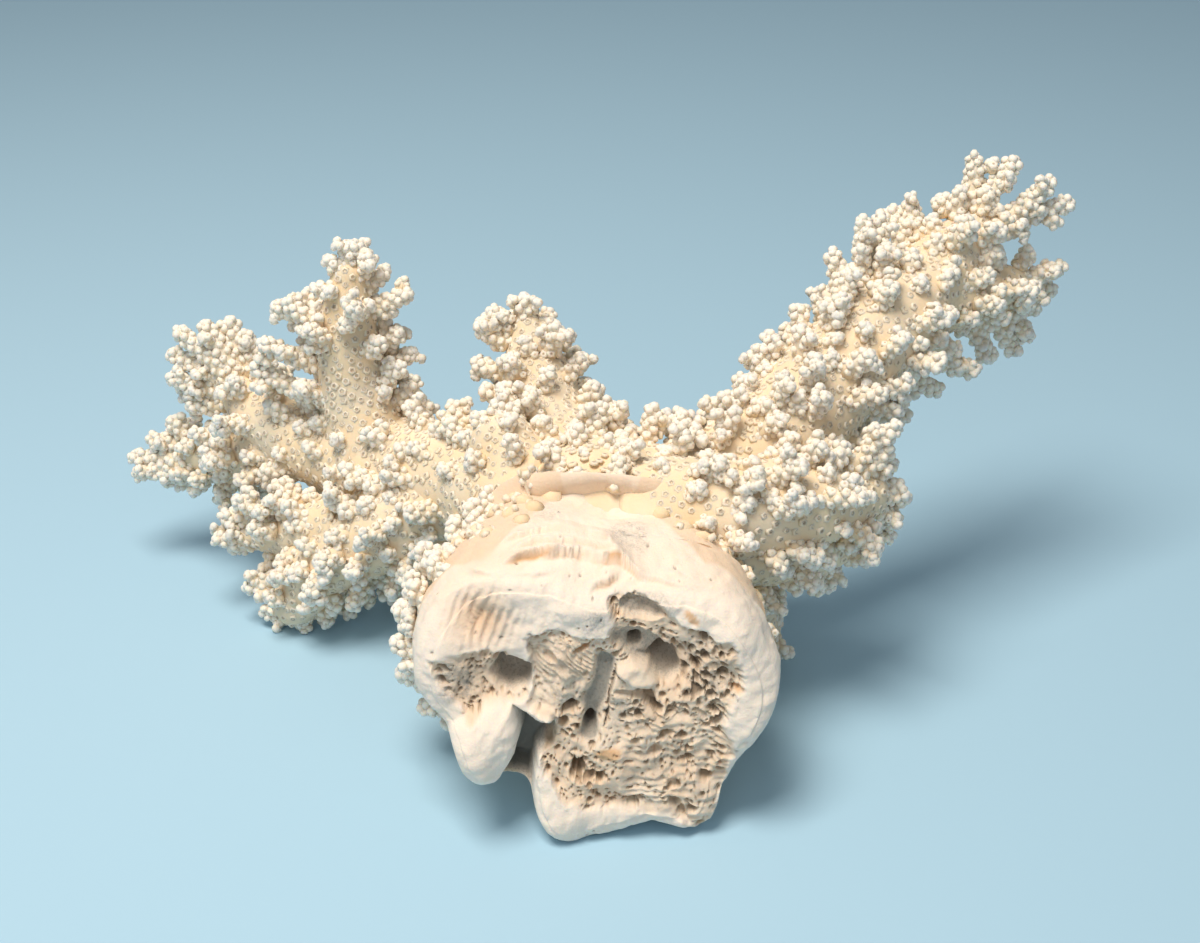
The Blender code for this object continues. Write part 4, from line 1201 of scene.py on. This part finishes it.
def coralMaterial():
    """white at the tips, warm painted glow and shade in the hollows, brown painted shade in the pores"""
    material, tree, shader, place, grain = skeletonMaterial("BleachedAragonite", coralLook, 0.35)
    white = addNode(tree, "ShaderNodeAttribute", {"attribute_name": "white"}).outputs["Fac"]
    poreShade = addNode(tree, "ShaderNodeAttribute", {"attribute_name": "poreShade"}).outputs["Fac"]
    cloud = addNode(tree, "ShaderNodeTexNoise", {}, {"Vector": place, "Scale": 90.0, "Detail": 2.0})
    shift = addNode(tree, "ShaderNodeMath", {"operation": "MULTIPLY_ADD"}, {
        0: cloud.outputs["Fac"], 1: 0.4, 2: -0.2})
    share = addNode(tree, "ShaderNodeMath", {"operation": "ADD", "use_clamp": True}, {
        0: white, 1: shift.outputs[0]})
    base = mixColour(tree, share.outputs[0], linear(coralLook["hollow"]), linear(coralLook["knob"]))
    full = mixColour(tree, poreShade, base, linear(coralLook["poreShade"]))
    tree.links.new(full, shader.inputs["Base Color"])
    return material


def footMaterial():
    """chalky rim, spongy inside in beige, grey stains with grey painted shade in the hollows, tan with tan
    painted shadow under the folds, brown painted shade in the pores
    """
    material, tree, shader, place, grain = skeletonMaterial("BrokenAragonite", footLook, 0.6)
    marks = {name: addNode(tree, "ShaderNodeAttribute", {"attribute_name": name}).outputs["Fac"]
             for name in ("white", "poreShade", "grey", "tan")}
    base = mixColour(tree, marks["white"], linear(footLook["sponge"]), linear(footLook["chalk"]))
    base = mixColour(tree, marks["tan"], base, linear(footLook["tan"]))
    speck = addNode(tree, "ShaderNodeMapRange", {}, {
        "Value": grain.outputs["Fac"], "From Min": 0.35, "From Max": 0.6})
    softer = addNode(tree, "ShaderNodeMath", {"operation": "MAXIMUM"}, {
        0: speck.outputs[0], 1: marks["grey"]})
    stainAndShadeShare = addNode(tree, "ShaderNodeMath", {"operation": "MULTIPLY"}, {
        0: marks["grey"], 1: softer.outputs[0]})
    base = mixColour(tree, stainAndShadeShare.outputs[0], base, linear(footLook["stainAndShadeGrey"]))
    full = mixColour(tree, marks["poreShade"], base, linear(footLook["poreShade"]))
    tree.links.new(full, shader.inputs["Base Color"])
    return material


# The pieces

def buildBranches(material):
    """each node's limbs, low cups, branchlets and their buds as one piece"""
    curves, grown = growBranchlets()
    rng = np.random.default_rng(drawing["seed"] + 2)
    nodes = {}
    low, nubs = footGrowth(rng)
    for name, limb in limbs.items():
        path = curves[name]
        parts = []
        if limb["reach"]:
            parts.append(limbTube(limb.get("skin", limb["path"])))
            low = lowCups(name, path, curves, rng)
        else:
            grown[name].append(nubs)
        every = [group for group in grown[name] if len(group[0])]
        free = np.ones(len(low[0]), bool)
        for root, tip, buried in every:
            free &= ~nearCore(low[0], root, tip, 0.8 * branchlet["rootRadius"])
        parts.append(revolved([values[free] for values in low], lowCup, 0.9, rng))
        wide, narrow = branchlet["rootRadius"], branchlet["tipRadius"]
        fingers = []
        for k, (root, tip, buried) in enumerate(every):
            slim = 0.88 if k else 1.0
            core = fingerCores(root, tip, buried, slim * wide, slim * narrow, rng)
            root, tip, buried = budsOn(core, rng)
            out = ~insideLimb(tip, name, curves, 0.5) & (tip[:, 2] > 1) & ~insideFoot(tip, 0)
            fingers.append(core)
            if out.any():
                fingers.append(fingerCores(root[out], tip[out], buried[out], branchlet["budRadius"],
                                           branchlet["budRadius"], rng))
        for core in fingers:
            parts.append(fingerSkins(core))
            cups = fingerCups(core, rng)
            ends = cups[0] + cups[1] * cups[3][:, None]
            out = ~insideLimb(ends, name, curves, -0.6) & (ends[:, 2] > 0.3) & ~insideFoot(ends, 0.3)
            parts.append(revolved([values[out] for values in cups], tallCup, 0.35, rng))
        nodes.setdefault(limb["node"], []).extend(parts)
    for node, parts in nodes.items():
        name = "foot_branchlets" if node == "holdfast" else node + "_skeleton"
        piece = makePiece(name, joinParts(parts), ("white", "poreShade"), material, node)


def buildFoot(material):
    """the broken face and the body behind it"""
    names = ("white", "poreShade", "grey", "tan")
    for name, part in (("broken_face", makeFace()), ("foot_body", makeBody())):
        piece = makePiece(name, part, names, material, "holdfast")
        piece.data.set_sharp_from_angle(angle=math.radians(88))


# Stage, light and camera

stage = {
    "floor": "#A9CDE3",
    "sky": "#F2F6F8",
    "skyStrength": 0.3,
    "cameraPlace": (0.004, -0.413, 0.281),
    "cameraTilt": 28.0,         # degrees below the horizon
    "lens": 54.0,
}


def makeStage():
    """a pale matt floor, a pale even surround and two broad soft lamps"""
    size = 6.0
    mesh = bpy.data.meshes.new("floor")
    mesh.from_pydata([(-size, -size, 0), (size, -size, 0), (size, size, 0), (-size, size, 0)], [],
                     [(0, 1, 2, 3)])
    floor = bpy.data.objects.new("floor", mesh)
    bpy.context.scene.collection.objects.link(floor)
    paper = bpy.data.materials.new("MattPaper")
    paper.use_nodes = True
    shader = paper.node_tree.nodes["Principled BSDF"]
    shader.inputs["Base Color"].default_value = linear(stage["floor"])
    shader.inputs["Roughness"].default_value = 0.9
    mesh.materials.append(paper)
    world = bpy.data.worlds.new("surround")
    world.use_nodes = True
    sky = world.node_tree.nodes["Background"]
    sky.inputs["Color"].default_value = linear(stage["sky"])
    sky.inputs["Strength"].default_value = stage["skyStrength"]
    bpy.context.scene.world = world
    lamps = (
        ("overhead", (-0.22, -0.2, 0.95), 0.45, 10.0, "#FFF4E6"),
        ("front", (-0.3, -1.3, 0.7), 0.8, 1.5, "#FFFFFF"),
    )
    for name, place, width, power, colour in lamps:
        light = bpy.data.lights.new(name, "AREA")
        light.size = width
        light.energy = power
        light.color = linear(colour)[:3]
        lamp = bpy.data.objects.new(name, light)
        lamp.location = place
        aim = Vector((0, 0, 0.04)) - Vector(place)
        lamp.rotation_euler = aim.to_track_quat("-Z", "Y").to_euler()
        bpy.context.scene.collection.objects.link(lamp)


def makeCamera():
    """level sideways, looking along +y and down by the tilt"""
    data = bpy.data.cameras.new("camera")
    data.lens = stage["lens"]
    data.sensor_width = 36.0
    camera = bpy.data.objects.new("camera", data)
    camera.location = stage["cameraPlace"]
    camera.rotation_euler = (math.radians(90 - stage["cameraTilt"]), 0, 0)
    bpy.context.scene.collection.objects.link(camera)
    bpy.context.scene.camera = camera


print("branches")
buildBranches(coralMaterial())
print("broken foot")
buildFoot(footMaterial())
print("stage and camera")
makeStage()
makeCamera()
bpy.context.scene.view_settings.view_transform = "Standard"     # pale things keep their own colour
